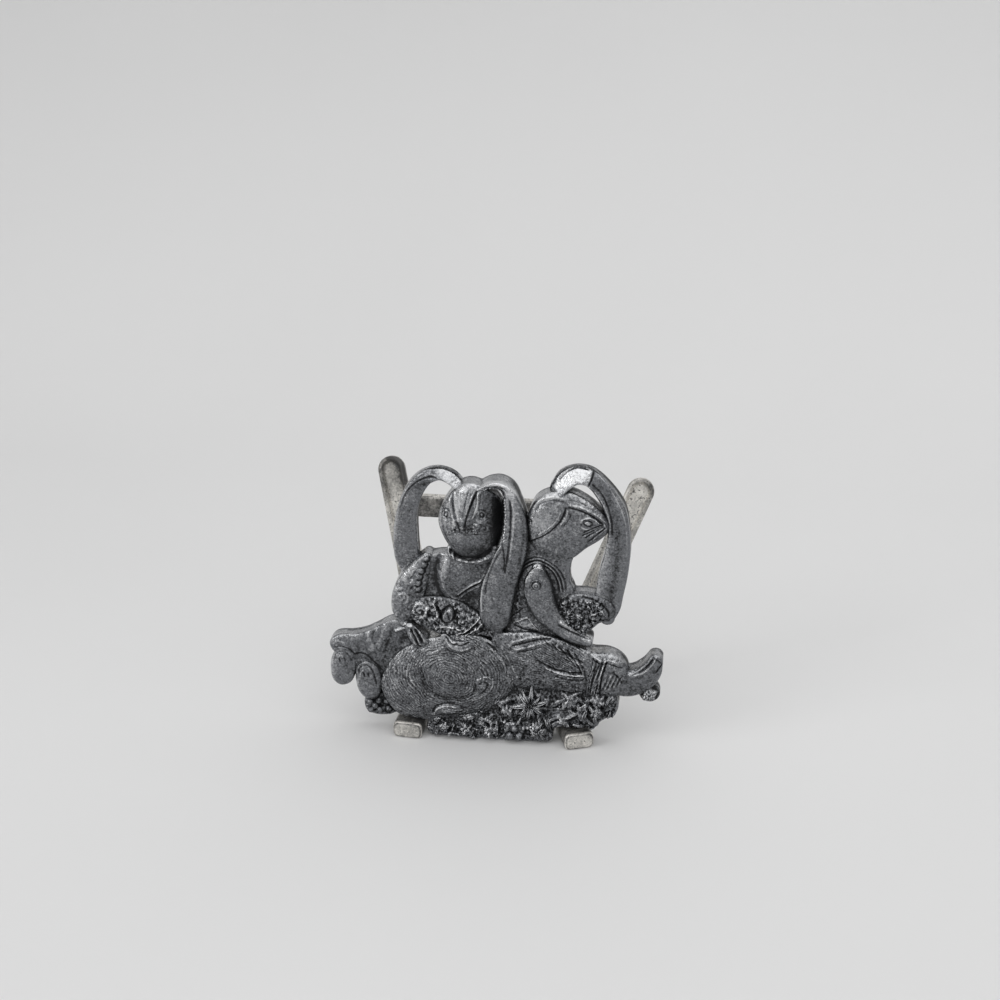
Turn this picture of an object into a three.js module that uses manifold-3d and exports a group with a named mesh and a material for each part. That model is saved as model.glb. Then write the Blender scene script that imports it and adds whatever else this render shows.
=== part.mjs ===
// Rabbit card holder: a cast pewter relief of two rabbits in a flower bed, soldered to a plain pewter stand.
// Millimetres, Z up, X to the right as seen from the front. The flat back of the relief is the plane Y = 0
// and the relief faces -Y. Outlines are [x, z] points on that plane, joined by a smooth closed curve.
import * as THREE from 'three';
import { mergeVertices } from 'three/addons/utils/BufferGeometryUtils.js';
import Module from 'manifold-3d';

const wasm = await Module();
wasm.setup();

// Clearances
const seam = 0.3; // between neighbouring forms of the relief
const railGap = 0.3; // between the relief and the rails that it stands over
const barGap = 0.45; // between the crossbar's ends and the arms

// Stand
const railWidth = 7;
const railHeight = 4;
const railCorner = 1.1;
const footChamfer = 0.6;
const footReach = 7; // the feet stand this far in front of the relief's back
const heelDepth = 19; // from the relief's back to the bend of the legs
const bendReach = 4.5; // the bend starts and ends this far from its corner
const armLean = THREE.MathUtils.degToRad(18);
const armWidth = 6.8;
const armThickness = 3;
const armCorner = 0.7;
const armLength = 57.3; // from the corner of the bend to the rounded tip
const dishRim = 1.1;
const dishDepth = 1.2;
const dishLength = 36;
const leftLeg = { tip: -21.6, heel: -19.4, splay: THREE.MathUtils.degToRad(-13) };
const rightLeg = { tip: 20, heel: 10.6, splay: THREE.MathUtils.degToRad(22) };
const barDrop = 5.9; // from the tip of the lower arm down to the top of the bar
const barTop = railHeight / 2 + armLength * Math.cos(rightLeg.splay) * Math.cos(armLean) - barDrop;
const barHeight = 5.7;
const barThickness = 2.6;
const barEdge = 0.4;
const solderSize = 2.2;
const solderInset = 0.8;

// Relief: depths are measured forward from the flat back
const plateThickness = 1.8;
const headDepth = 6.1;
const leftEarDepth = 3.6;
const rightEarDepth = 6.2;
const collarDepth = 5.2;
const bodiceDepth = 4.2;
const sleeveDepth = 5.2;
const bouquetDepth = 5.8;
const pawDepth = 7;
const skirtDepth = 6.4;
const hemDepth = 3.8;
const rearFootDepth = 4.6;
const frontFootDepth = 5.4;
const buckHeadDepth = 5.6;
const buckEarDepth = 4.2;
const shirtDepth = 4.2;
const buckArmDepth = 6.4;
const buttonDepth = 7;
const posyDepth = 5.6;
const trousersDepth = 6.2;
const cuffDepth = 5.6;
const shoeDepth = 5.2;
const bedDepth = 6;
const bladeSeat = 5;
const bladeDepth = 7.2;
const flowerDepth = 7.6;
const budDepth = 7.8;
const flowerSeat = 4.4;
const petalDrop = 0.6; // the petals' ridges stay this far behind the flower's eye
const pawSeat = 4.5;
const buttonSeat = 4.8;
const leftBerryBase = 3.6;
const frontBerryBase = 6;
const berrySeat = 4.4;
const berrySize = 1.1;
const eyeSize = 1.1;
const doeEyeDepth = 5.1;
const buckEyeDepth = 4.7;

// Flowers: centre on the relief, reach of the petals and their number
const bigFlower = { x: 8, z: 10.7, reach: 5.6, petals: 13, petalWidth: 1.5, eye: 1.1 };
const frontFlower = { x: 9.7, z: 3.9, reach: 3, petals: 7, petalWidth: 1.6, eye: 0.9 };
const shoeFlower = { x: 35.9, z: 14.3, reach: 2.6, petals: 5, petalWidth: 1.6, eye: 0.9 };
const buttonPlace = { x: 9.2, z: 42.6, radius: 1.4 };

// Blades of the flower bed. The shares, which repeat nowhere, spread them evenly and turn each one anew
const bladeCount = 34;
const bladeReach = 4.4;
const bladeHalf = 1;
const acrossShare = 0.7549;
const upwardShare = 0.5698;
const turnShare = 0.618;
const bedSpan = { from: -15.6, to: 26 };
const bedStep = { x: 13.2, low: 1, high: 6 }; // the bed's lower edge rises at this x

// Carved swellings: [x, z, half width, half height, how far they stand out] on their form
const faceSwellings = [
  [-7.2, 62, 1.7, 4.2, 1.1], [-7.3, 57.6, 0.9, 1.8, 0.9], [-6.5, 52.6, 3.2, 2.4, 1],
  [-3.2, 62.2, 1, 2.4, 0.7], [-11, 61.8, 0.9, 2.4, 0.5], [-9.4, 55.8, 1.6, 1, 0.5], [-4.4, 55.8, 1.6, 1, 0.5],
];
const bodiceSwellings = [[-8.4, 42.6, 3.6, 3.8, 1.2]];
const skirtSwellings = [
  [-11.4, 16.8, 4.6, 4.2, 0.9], [-22.6, 13.4, 3, 4, 0.4], [-11.4, 7.2, 3.4, 1.4, 0.9],
  [-2.4, 14.6, 1.9, 2.4, 0.5], [-17.6, 17.4, 0.9, 3.4, -0.6], [-11.6, 11.4, 4, 1, -0.6],
];
const buckFaceSwellings = [[10.9, 59.4, 2.6, 2.8, 0.5], [18.4, 55.6, 3, 2.4, 0.45]];

const slabReach = 200; // wider and taller than the relief

// Resolution
const outlineSteps = 26;
const domeRings = 4;
const lineSteps = 14;
const arcSteps = 5;

const darkPewter = new THREE.MeshStandardMaterial({ color: 0x4c4c52, roughness: 0.45, metalness: 0.9 });
const plainPewter = new THREE.MeshStandardMaterial({ color: 0xaaa79c, roughness: 0.4, metalness: 0.9 });
darkPewter.flatShading = true;
plainPewter.flatShading = true;

const holder = new THREE.Group();

function toSolid(geometry) {
  geometry.deleteAttribute('normal');
  geometry.deleteAttribute('uv');
  const merged = mergeVertices(geometry, 1e-4);
  const vertProperties = new Float32Array(merged.attributes.position.array);
  const triVerts = new Uint32Array(merged.index.array);
  return new wasm.Manifold(new wasm.Mesh({ numProp: 3, vertProperties, triVerts }));
}

function toGeometry(solid) {
  const mesh = solid.getMesh();
  const geometry = new THREE.BufferGeometry();
  geometry.setAttribute('position', new THREE.BufferAttribute(new Float32Array(mesh.vertProperties), 3));
  geometry.setIndex(new THREE.BufferAttribute(new Uint32Array(mesh.triVerts), 1));
  geometry.computeVertexNormals();
  return geometry;
}

function addMesh(name, solid, material) {
  const mesh = new THREE.Mesh(toGeometry(solid), material);
  mesh.name = name;
  holder.add(mesh);
}

// A closed body from rings of points: each ring has the same number of points, and both ends are capped
function ringBody(rings, firstCap, lastCap) {
  const count = rings[0].length;
  const positions = [];
  const index = [];
  for (const ring of rings) {
    for (const point of ring) {
      positions.push(point.x, point.y, point.z);
    }
  }
  for (let r = 0; r + 1 < rings.length; r += 1) {
    for (let i = 0; i < count; i += 1) {
      const a = r * count + i;
      const b = r * count + (i + 1) % count;
      index.push(a, b, b + count, a, b + count, a + count);
    }
  }
  const first = positions.length / 3;
  positions.push(firstCap.x, firstCap.y, firstCap.z, lastCap.x, lastCap.y, lastCap.z);
  const lastRing = (rings.length - 1) * count;
  for (let i = 0; i < count; i += 1) {
    const next = (i + 1) % count;
    index.push(first, next, i);
    index.push(first + 1, lastRing + i, lastRing + next);
  }
  const geometry = new THREE.BufferGeometry();
  geometry.setAttribute('position', new THREE.Float32BufferAttribute(positions, 3));
  geometry.setIndex(index);
  return geometry;
}

// Smooth closed outline through [x, z] points, running anticlockwise as seen from the front
function smoothOutline(points, steps) {
  const corners = points.map(([x, z]) => new THREE.Vector3(x, 0, z));
  const curve = new THREE.CatmullRomCurve3(corners, true, 'centripetal');
  const ring = curve.getSpacedPoints(steps).slice(0, steps);
  const flat = ring.map((p) => new THREE.Vector2(p.x, p.z));
  return THREE.ShapeUtils.area(flat) < 0 ? flat.reverse() : flat;
}

// The outline pushed out by a clearance, along its own normals
function grownOutline(outline, grow) {
  return outline.map((point, i) => {
    const before = outline[(i + outline.length - 1) % outline.length];
    const after = outline[(i + 1) % outline.length];
    const along = after.clone().sub(before).normalize();
    return new THREE.Vector2(point.x + along.y * grow, point.y - along.x * grow);
  });
}

function meanPoint(points, start = new THREE.Vector3()) {
  return points.reduce((sum, point) => sum.add(point), start).divideScalar(points.length);
}

// How far the carved swellings stand out at a point
function carved(swellings, x, z) {
  return swellings.reduce((sum, [cx, cz, wide, tall, height]) => {
    const far = ((x - cx) / wide) ** 2 + ((z - cz) / tall) ** 2;
    return sum + height * Math.exp(-far);
  }, 0);
}

// A cast form swelling from a flat seat to a rounded front: outline, seat depth, front depth and centre
function swell(points, seat, front, centre, options = {}) {
  const { steps = outlineSteps, wallShare = 0.5, rings: domes = domeRings, swellings = [] } = options;
  return (grow, back = seat - grow) => {
    const outline = grownOutline(smoothOutline(points, steps), grow);
    const middle = centre ?? meanPoint(outline, new THREE.Vector2()).toArray();
    const wall = (front - seat) * wallShare;
    const dome = front - seat - wall + grow;
    const rings = [outline.map((p) => new THREE.Vector3(p.x, -back, p.y))];
    for (let r = 0; r < domes; r += 1) {
      const angle = (r / domes) * Math.PI / 2;
      const scale = Math.cos(angle);
      const rise = Math.sin(angle);
      rings.push(outline.map((p) => {
        const x = middle[0] + (p.x - middle[0]) * scale;
        const z = middle[1] + (p.y - middle[1]) * scale;
        return new THREE.Vector3(x, -(seat + wall + (dome + carved(swellings, x, z)) * rise), z);
      }));
    }
    const firstCap = new THREE.Vector3(middle[0], -back, middle[1]);
    const top = front + grow + carved(swellings, ...middle);
    return toSolid(ringBody(rings, firstCap, new THREE.Vector3(middle[0], -top, middle[1])));
  };
}

// A long cast form such as an ear: [x, z, half width, lean] points down its middle line, seat, front depth
// and the wall's share of the height. A lean sinks the form's left side and raises its right side
function ribbon(points, seat, front, wallShare = 0.5) {
  return (grow, back = seat - grow) => {
    const corners = points.map(([x, z, half]) => new THREE.Vector3(x, half, z));
    const curve = new THREE.CatmullRomCurve3(corners, false, 'centripetal');
    const rings = [];
    for (let s = 0; s <= lineSteps; s += 1) {
      const t = s / lineSteps;
      const at = curve.getPoint(t);
      const along = curve.getTangent(t).setY(0).normalize();
      const place = t * (points.length - 1);
      const [before, after] = [points[Math.floor(place)], points[Math.ceil(place)]];
      const lean = THREE.MathUtils.lerp(before[3] ?? 0, after[3] ?? 0, place % 1);
      const end = s === 0 || s === lineSteps ? 0.45 : 1;
      const half = at.y * end + grow;
      const rise = (front - seat) * (end < 1 ? 0.6 : 1) - Math.abs(lean) * 0.7 + grow;
      const ring = [];
      const push = (across, depth) => ring.push(new THREE.Vector3(
        at.x - along.z * across,
        -depth,
        at.z + along.x * across,
      ));
      push(half, back);
      for (let k = 0; k <= arcSteps; k += 1) {
        const angle = (k / arcSteps) * Math.PI;
        const swing = Math.cos(angle);
        const height = wallShare + (1 - wallShare) * Math.sin(angle);
        push(half * swing, seat + rise * height - lean * swing * end);
      }
      push(-half, back);
      rings.push(ring);
    }
    return toSolid(ringBody(rings, meanPoint(rings[0]), meanPoint(rings[rings.length - 1])));
  };
}

// A pointed petal or leaf with a ridge down its middle, lying in a direction on the relief
function blade(x, z, angle, reach, half, seat, front) {
  const point = (share, across, depth) => new THREE.Vector3(
    x + reach * share * Math.cos(angle) - across * Math.sin(angle),
    -depth,
    z + reach * share * Math.sin(angle) + across * Math.cos(angle),
  );
  const rings = [[0.25, 0.8, 0.9], [0.7, 1, 1]].map(([share, width, height]) => [
    point(share, half * width, seat),
    point(share, 0, seat + (front - seat) * height),
    point(share, -half * width, seat),
  ]);
  return toSolid(ringBody(rings, point(0, 0, seat), point(1, 0, seat)));
}

function unionOf(solids) {
  return solids.reduce((whole, solid) => whole.add(solid));
}

// Points of a circle on the relief
function circle(x, z, radius, count) {
  const points = [];
  for (let i = 0; i < count; i += 1) {
    const angle = (i / count) * Math.PI * 2;
    points.push([x + radius * Math.cos(angle), z + radius * Math.sin(angle)]);
  }
  return points;
}

// A flower: petals round a raised eye. What it is cut out of gets one round pocket for it
function flower(place, seat, front) {
  return (grow, back = seat - grow) => {
    if (grow > 0) {
      const pocket = circle(place.x, place.z, place.reach, 12);
      return swell(pocket, seat, front, undefined, { steps: 14, wallShare: 1, rings: 2 })(grow, back);
    }
    const solids = [];
    for (let i = 0; i < place.petals; i += 1) {
      const angle = (i / place.petals) * Math.PI * 2;
      solids.push(blade(place.x, place.z, angle, place.reach, place.petalWidth / 2, seat, front - petalDrop));
    }
    solids.push(swell(circle(place.x, place.z, place.eye, 8), seat, front, undefined, { steps: 8 })(grow));
    return unionOf(solids);
  };
}

// A form with small balls half sunk in it
function beaded(base, places, size, depth) {
  return (grow, back) => {
    const solids = [base(grow, back)];
    for (const [x, z] of places) {
      const ball = new THREE.SphereGeometry(size + grow, 6, 5);
      ball.rotateX(Math.PI / 2);
      ball.translate(x, -depth, z);
      solids.push(toSolid(ball));
    }
    return unionOf(solids);
  };
}

// Round berries on a low lump
function berries(lump, places, seat, top) {
  return beaded(swell(lump, seat, top, undefined, { steps: 16 }), places, berrySize, top + berrySize * 0.4);
}

// The flower bed: a lumpy pad with blades lying over it, kept inside its outline
function bladed(points, seat, front, centre, options) {
  const pad = swell(points, seat, front, centre, options);
  const fence = swell(points, seat, bladeDepth, centre, { ...options, wallShare: 1 });
  return (grow, back) => {
    if (grow > 0) {
      return pad(grow, back);
    }
    const blades = [];
    for (let i = 0; i < bladeCount; i += 1) {
      const x = THREE.MathUtils.lerp(bedSpan.from, bedSpan.to, (i * acrossShare) % 1);
      const low = x > bedStep.x ? bedStep.high : bedStep.low;
      const high = THREE.MathUtils.clamp(9 + x * 0.5, 3, 12.4);
      const z = THREE.MathUtils.lerp(low, high, (i * upwardShare) % 1);
      const angle = ((i * turnShare) % 1) * Math.PI;
      blades.push(blade(x, z, angle, bladeReach, bladeHalf, bladeSeat, bladeDepth));
    }
    return pad(grow, back).add(unionOf(blades).intersect(fence(grow)));
  };
}

const seat = plateThickness;

// Forms of the relief, from the front-most to the rearmost: each is cut clear of all that come before it
const forms = [
  ['buck_button', swell(
    circle(buttonPlace.x, buttonPlace.z, buttonPlace.radius, 8),
    buttonSeat, buttonDepth, undefined, { steps: 12 },
  )],
  ['doe_right_ear', ribbon([
    [-3.4, 63.2, 1.1, 1], [-1.6, 64.8, 1.5, 1.3], [0.9, 64.8, 2, 1.2], [2.7, 62.8, 2.6, 0.4], [3.2, 59, 3.3],
    [3.5, 54.4, 3.6], [2.7, 50, 3.6], [1.4, 45, 3.7], [0.1, 40, 4], [-0.5, 35.2, 3.9], [-0.4, 31.4, 3],
    [-0.3, 28.9, 1.2],
  ], seat, rightEarDepth)],
  ['buck_arm', ribbon([
    [9.4, 46, 1.6], [9.3, 43, 3.1], [9.8, 39, 3.5], [11.6, 35, 3], [14.6, 31.6, 2.3], [18, 29.2, 1.8],
    [21.2, 27.9, 1.2],
  ], seat, buckArmDepth)],
  ['doe_left_paw', ribbon([
    [-20, 31, 1.3], [-19.2, 28.5, 2], [-17.8, 25.8, 2.1], [-16.9, 24.2, 1.3],
  ], pawSeat, pawDepth)],
  ['doe_right_paw', ribbon([
    [-12.4, 27.4, 1.1], [-10.6, 25.6, 1.4], [-8, 25.2, 1.5], [-6, 26, 1.1],
  ], pawSeat, pawDepth)],
  ['doe_bouquet', swell([
    [-20.8, 33.6], [-19, 36.6], [-15.6, 37.4], [-9.6, 36.8], [-5.4, 34.4], [-2, 31.6], [1.4, 29.2],
    [0.4, 27.6], [-3.4, 28], [-7.4, 27.4], [-12.4, 27.6], [-17, 29], [-20, 31],
  ], seat, bouquetDepth, [-11, 31.4])],
  ['doe_head', beaded(swell([
    [-6.6, 48.2], [-10.6, 49.8], [-13.2, 53.4], [-14, 57.6], [-13.2, 61.6], [-10.6, 64.7], [-6.8, 65.9],
    [-3.2, 64.7], [-0.6, 61.6], [0.2, 57.6], [-0.4, 53.4], [-2.8, 49.8],
  ], seat, headDepth, undefined, { steps: 32, rings: 7, swellings: faceSwellings }), [
    [-11.6, 59.1], [-3.4, 59.4],
  ], eyeSize, doeEyeDepth)],
  ['doe_left_ear', ribbon([
    [-9.6, 64.8, 1, -0.9], [-11.6, 66.4, 1.2, -1.2], [-14.2, 66.9, 1.4, -1.2], [-17, 65.6, 1.9, -0.6],
    [-19.5, 62.2, 2.1], [-20.9, 58.4, 2.3], [-21.5, 54.9, 2.6], [-21.6, 50.8, 2.8], [-21.4, 46.4, 2.8],
    [-20.9, 43.2, 2],
  ], 0, leftEarDepth, 0.75)],
  ['buck_ear', ribbon([
    [13.2, 65, 1.7, 1.2], [15.5, 67.4, 2, 1.7], [18, 68.9, 2.1, 1.7], [20.9, 68.4, 2, 1.4],
    [23.8, 65.5, 2.2, 0.3], [26.6, 61, 2.4], [27.6, 55.9, 2.5], [27.5, 50.7, 2.9], [26.7, 45.4, 3.3],
    [25.9, 40, 3.2], [25.7, 36.4, 2.8], [25.5, 33.6, 1.8],
  ], 0, buckEarDepth, 0.75)],
  ['doe_collar', swell([
    [-6.6, 45.7], [-10, 46.7], [-11.9, 48.4], [-11.7, 50.2], [-9, 50.8], [-4, 50.4], [-0.2, 51],
    [-0.2, 48.6], [-2.8, 46.4],
  ], seat, collarDepth, [-6.7, 48.6])],
  ['buck_head', beaded(swell([
    [6.7, 54.8], [6.9, 58.2], [7.9, 61], [9.9, 63.4], [12.7, 65], [16.3, 65], [19.4, 63.5], [22.6, 61],
    [25.2, 57.9], [25.6, 56.1], [23.6, 53.7], [20.4, 51.4], [17, 49.6], [13.6, 48.8], [10.4, 49.6],
    [7.8, 51.8],
  ], seat, buckHeadDepth, [14.6, 57.4], { swellings: buckFaceSwellings }), [
    [21, 58.2],
  ], eyeSize, buckEyeDepth)],
  ['doe_sleeve', ribbon([
    [-16.4, 47.2, 1.2], [-18, 44.4, 2.4], [-19.8, 40.6, 3.4], [-21.2, 36.8, 3.7], [-22, 33, 3.1],
    [-22, 30, 1.8],
  ], seat, sleeveDepth)],
  ['buck_posy', swell([
    [14.2, 37.4], [16.2, 39.6], [19.4, 40.2], [22.8, 39.8], [26, 38.6], [27.4, 36.4], [26.5, 34.1],
    [23.8, 32.6], [21.7, 30.6], [19.1, 28.8], [15.9, 30.4], [14, 33.8],
  ], seat, posyDepth)],
  ['doe_bodice', swell([
    [-17.4, 46.6], [-13.6, 48.2], [-9, 48], [-4, 47.8], [-0.6, 46], [-1.2, 40], [-3.4, 33], [-9.6, 31],
    [-16, 33], [-17.8, 37], [-18.6, 42],
  ], seat, bodiceDepth, [-9.6, 40.8], { swellings: bodiceSwellings })],
  ['doe_front_foot', swell([
    [-31.4, 19], [-33.8, 17.6], [-34.3, 14.4], [-33.6, 10.6], [-31.6, 8.4], [-29.4, 9.2], [-28, 13],
    [-28.6, 17.2],
  ], seat, frontFootDepth)],
  ['doe_skirt', swell([
    [-28.4, 12.4], [-27.3, 16.9], [-24.2, 21.6], [-19.2, 25.2], [-12.9, 27.4], [-4.3, 28], [0.6, 25.4],
    [3.8, 20.9], [4.6, 16.5], [2.4, 11.8], [-3.1, 7.2], [-9.8, 4.9], [-17.6, 3.8], [-24.6, 5.2],
  ], seat, skirtDepth, [-12.6, 16.4], { steps: 36, rings: 8, wallShare: 0.6, swellings: skirtSwellings })],
  ['buck_trousers', swell([
    [-1, 28.2], [4.6, 29.4], [9.6, 29.4], [14.2, 28.4], [18.4, 26.6], [22, 25.4], [22.6, 20.9],
    [20.6, 14.6], [13.4, 15.2], [6.4, 15.6], [3.6, 18], [1.6, 22.6],
  ], seat, trousersDepth)],
  ['buck_trouser_cuff', swell([
    [21.4, 25.7], [25.4, 25.8], [28.8, 24.2], [30.8, 21.6], [30.2, 16.8], [28.1, 12.9], [23.4, 12.2],
    [19.8, 13.5], [20.6, 19.2],
  ], seat, cuffDepth)],
  ['buck_shoe', ribbon([
    [27.8, 16.6, 3], [31, 16.9, 3.4], [34, 18.3, 3.2], [36, 20.6, 2.7], [37, 23.1, 1.9],
  ], seat, shoeDepth)],
  ['buck_shirt', swell([
    [6.6, 52.6], [10.4, 50.4], [14, 49.6], [17.4, 50.2], [16.8, 46.4], [16.8, 42.9], [17.8, 40.4],
    [16.4, 33], [12.6, 28], [2.4, 27.6], [2.2, 34], [3.2, 42], [5.4, 48],
  ], seat, shirtDepth, [10.4, 40])],
  ['doe_rear_foot', swell([
    [-37.8, 22], [-39.8, 19.8], [-40.4, 16.3], [-39.8, 13], [-38, 11.7], [-35.6, 12.6],
    [-34.1, 16.2], [-34.2, 20.4],
  ], seat, rearFootDepth)],
  ['doe_hem', swell([
    [-40.4, 23.2], [-38.8, 25], [-34.6, 25.6], [-31.8, 26.4], [-29, 27.9], [-25.1, 30], [-20.9, 29.6],
    [-20.4, 26], [-24.6, 21], [-27.6, 15.8], [-30.4, 14.4], [-34.9, 17.2], [-38, 19.6], [-39.9, 21.2],
  ], seat, hemDepth, [-29.6, 22])],
  ['shoe_flower', flower(shoeFlower, seat, shoeDepth)],
  ['large_flower', flower(bigFlower, flowerSeat, flowerDepth)],
  ['front_flower', flower(frontFlower, flowerSeat, budDepth)],
  ['left_berries', berries([
    [-32.2, 8.6], [-32, 5], [-30, 3.2], [-26.4, 3.6], [-24.6, 5], [-22, 5.2], [-22, 7], [-26, 9.4],
    [-29.4, 10.2],
  ], [
    [-30.8, 7.8], [-28.6, 8.2], [-30.6, 5.2], [-28.3, 5.7], [-26.2, 6.2], [-28, 3.9],
  ], seat, leftBerryBase)],
  ['front_berries', berries([
    [2.2, 1.4], [5.4, 1], [6.6, 3.4], [5, 5.6], [2, 5],
  ], [
    [3.2, 2.2], [5.4, 2.2], [4.3, 4.2],
  ], berrySeat, frontBerryBase)],
  ['grass_bed', bladed([
    [-16.4, 5.2], [-16.6, 0.7], [-11.7, 0.5], [-3.9, 0.3], [3.3, 0.2], [10.5, 0.3], [13.1, 0.6],
    [13.6, 4.2], [22.9, 4.9], [25.1, 6.7], [28.2, 8.9], [28.8, 11.5], [27.6, 13.8], [20.5, 14.9],
    [13, 15.8], [6.4, 16.2], [4, 14.4], [1.6, 10.6], [-2.8, 7.2], [-9.6, 5.2],
  ], seat, bedDepth, [8, 8], { steps: 36, wallShare: 0.85, rings: 3 })],
];

// The middle of the plate, which closes the joints between the forms from behind
const plateCore = [
  [-28, 12], [-26, 20], [-21, 30], [-19, 40], [-13.4, 45.4], [-10.4, 50], [-11, 60], [-4, 64], [1, 65],
  [4, 60], [6, 54], [10, 61], [18, 61], [22, 56], [14, 50], [14, 40], [22, 34], [18, 27], [28, 20],
  [35, 18], [30, 14.6], [24, 8], [12, 6], [8, 1.6], [-14, 1.6], [-17, 6],
];

// Forms that stand free of the plate and run through its whole depth
const freeForms = new Set(['doe_left_ear', 'buck_ear']);

// Forms that sit on another form and don't reach the plate
const liftedForms = new Set([
  'buck_button', 'doe_left_paw', 'doe_right_paw', 'large_flower', 'front_flower', 'front_berries',
]);

// One leg: a rail on the table with a square foot, bent up into an arm that leans back and splays outward
function legPath(leg) {
  const level = railHeight / 2;
  const tip = new THREE.Vector3(leg.tip, -footReach, level);
  const corner = new THREE.Vector3(leg.heel, heelDepth, level);
  const along = corner.clone().sub(tip).normalize();
  const up = new THREE.Vector3(
    Math.sin(leg.splay),
    Math.cos(leg.splay) * Math.sin(armLean),
    Math.cos(leg.splay) * Math.cos(armLean),
  );
  const railSide = new THREE.Vector3(along.y, -along.x, 0);
  const armFace = new THREE.Vector3(0, -Math.cos(armLean), Math.sin(armLean));
  const armSide = new THREE.Vector3().crossVectors(up, armFace);
  return { tip, corner, along, up, railSide, armSide, armFace };
}

// Points of a rounded rectangle, width along side and thickness along face
function roundedSection(middle, side, face, width, thickness, corner) {
  const points = [];
  const turns = 3;
  const centres = [[1, -1], [1, 1], [-1, 1], [-1, -1]];
  centres.forEach(([a, b], quarter) => {
    for (let i = 0; i < turns; i += 1) {
      const angle = (quarter - 1 + i / (turns - 1)) * Math.PI / 2;
      const x = a * (width / 2 - corner) + corner * Math.cos(angle);
      const y = b * (thickness / 2 - corner) + corner * Math.sin(angle);
      points.push(middle.clone().addScaledVector(side, x).addScaledVector(face, y));
    }
  });
  return points.reverse();
}

function legSolid(leg) {
  const { tip, corner, along, up, railSide, armSide, armFace } = legPath(leg);
  const zUp = new THREE.Vector3(0, 0, 1);
  const rings = [];
  const bendStart = corner.clone().addScaledVector(along, -bendReach);
  const bendEnd = corner.clone().addScaledVector(up, bendReach);
  const bend = new THREE.QuadraticBezierCurve3(bendStart, corner, bendEnd);
  const endWidth = railWidth - footChamfer;
  rings.push(roundedSection(tip, railSide, zUp, endWidth, railHeight - footChamfer, railCorner));
  const footStart = tip.clone().addScaledVector(along, footChamfer / 2);
  for (const place of [footStart, bendStart]) {
    rings.push(roundedSection(place, railSide, zUp, railWidth, railHeight, railCorner));
  }
  const bendSteps = 7;
  for (let s = 1; s <= bendSteps; s += 1) {
    const t = s / bendSteps;
    const tangent = bend.getTangent(t);
    const side = railSide.clone().lerp(armSide, t).normalize();
    side.addScaledVector(tangent, -side.dot(tangent)).normalize();
    const face = new THREE.Vector3().crossVectors(side, tangent);
    const width = THREE.MathUtils.lerp(railWidth, armWidth, t);
    const thickness = THREE.MathUtils.lerp(railHeight, armThickness, t);
    const round = THREE.MathUtils.lerp(railCorner, armCorner, t);
    rings.push(roundedSection(bend.getPoint(t), side, face, width, thickness, round));
  }
  const capSteps = 6;
  const radius = armWidth / 2;
  for (let s = 0; s <= capSteps; s += 1) {
    const angle = (s / capSteps) * Math.PI * 0.44;
    const reach = armLength - radius + radius * Math.sin(angle);
    const middle = corner.clone().addScaledVector(up, reach);
    const narrow = Math.cos(angle);
    rings.push(roundedSection(middle, armSide, armFace, armWidth * narrow, armThickness, armCorner * narrow));
  }
  const lastCap = corner.clone().addScaledVector(up, armLength);
  return toSolid(ringBody(rings, tip, lastCap));
}

// The shallow dish in the front of an arm, with a rounded top end and sloping walls
function dishSolid(leg) {
  const { corner, up, armSide, armFace } = legPath(leg);
  const half = armWidth / 2 - dishRim;
  const shape = new THREE.Shape();
  shape.moveTo(-half * 0.6, -dishLength);
  shape.lineTo(half * 0.6, -dishLength);
  shape.lineTo(half, -half);
  shape.absarc(0, -half, half, 0, Math.PI, false);
  shape.closePath();
  const slope = dishDepth * 0.9;
  const geometry = new THREE.ExtrudeGeometry(shape, {
    depth: dishDepth,
    bevelEnabled: true,
    bevelThickness: dishDepth,
    bevelSize: slope,
    bevelOffset: -slope,
    bevelSegments: 2,
    curveSegments: 10,
  });
  const frame = new THREE.Matrix4().makeBasis(armSide, up, armFace);
  const top = corner.clone().addScaledVector(up, armLength - dishRim);
  geometry.translate(0, 0, armThickness / 2);
  geometry.applyMatrix4(frame);
  geometry.translate(top.x, top.y, top.z);
  return toSolid(geometry);
}

// The clear space that a rail needs under the relief
function railSpace(leg) {
  const { tip, along, railSide } = legPath(leg);
  const zUp = new THREE.Vector3(0, 0, 1);
  const width = railWidth + 2 * railGap;
  const height = 2 * railHeight + railGap; // from one rail height below the table
  const rings = [-footReach, footReach * 3].map((reach) => {
    const middle = tip.clone().addScaledVector(along, reach).setZ(railGap / 2);
    return roundedSection(middle, railSide, zUp, width, height, railCorner);
  });
  return toSolid(ringBody(rings, meanPoint(rings[0]), meanPoint(rings[1])));
}

// A bead of solder in the corner between a rail's top and the relief's back
function solderSolid(leg) {
  const { tip, along } = legPath(leg);
  const reach = footReach / along.y;
  const x = tip.x + along.x * reach;
  const shape = new THREE.Shape();
  shape.moveTo(0, 0);
  shape.lineTo(solderSize, 0);
  shape.quadraticCurveTo(solderSize * 0.3, solderSize * 0.3, 0, solderSize);
  shape.closePath();
  const length = railWidth - 2 * railCorner - 2 * solderInset;
  const geometry = new THREE.ExtrudeGeometry(shape, { depth: length, bevelEnabled: false, curveSegments: 5 });
  const frame = new THREE.Matrix4().makeBasis(
    new THREE.Vector3(0, 1, 0),
    new THREE.Vector3(0, 0, 1),
    new THREE.Vector3(1, 0, 0),
  );
  geometry.applyMatrix4(frame);
  geometry.translate(x - length / 2 + solderSize / 2 * along.x, 0, railHeight);
  return toSolid(geometry);
}

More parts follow.
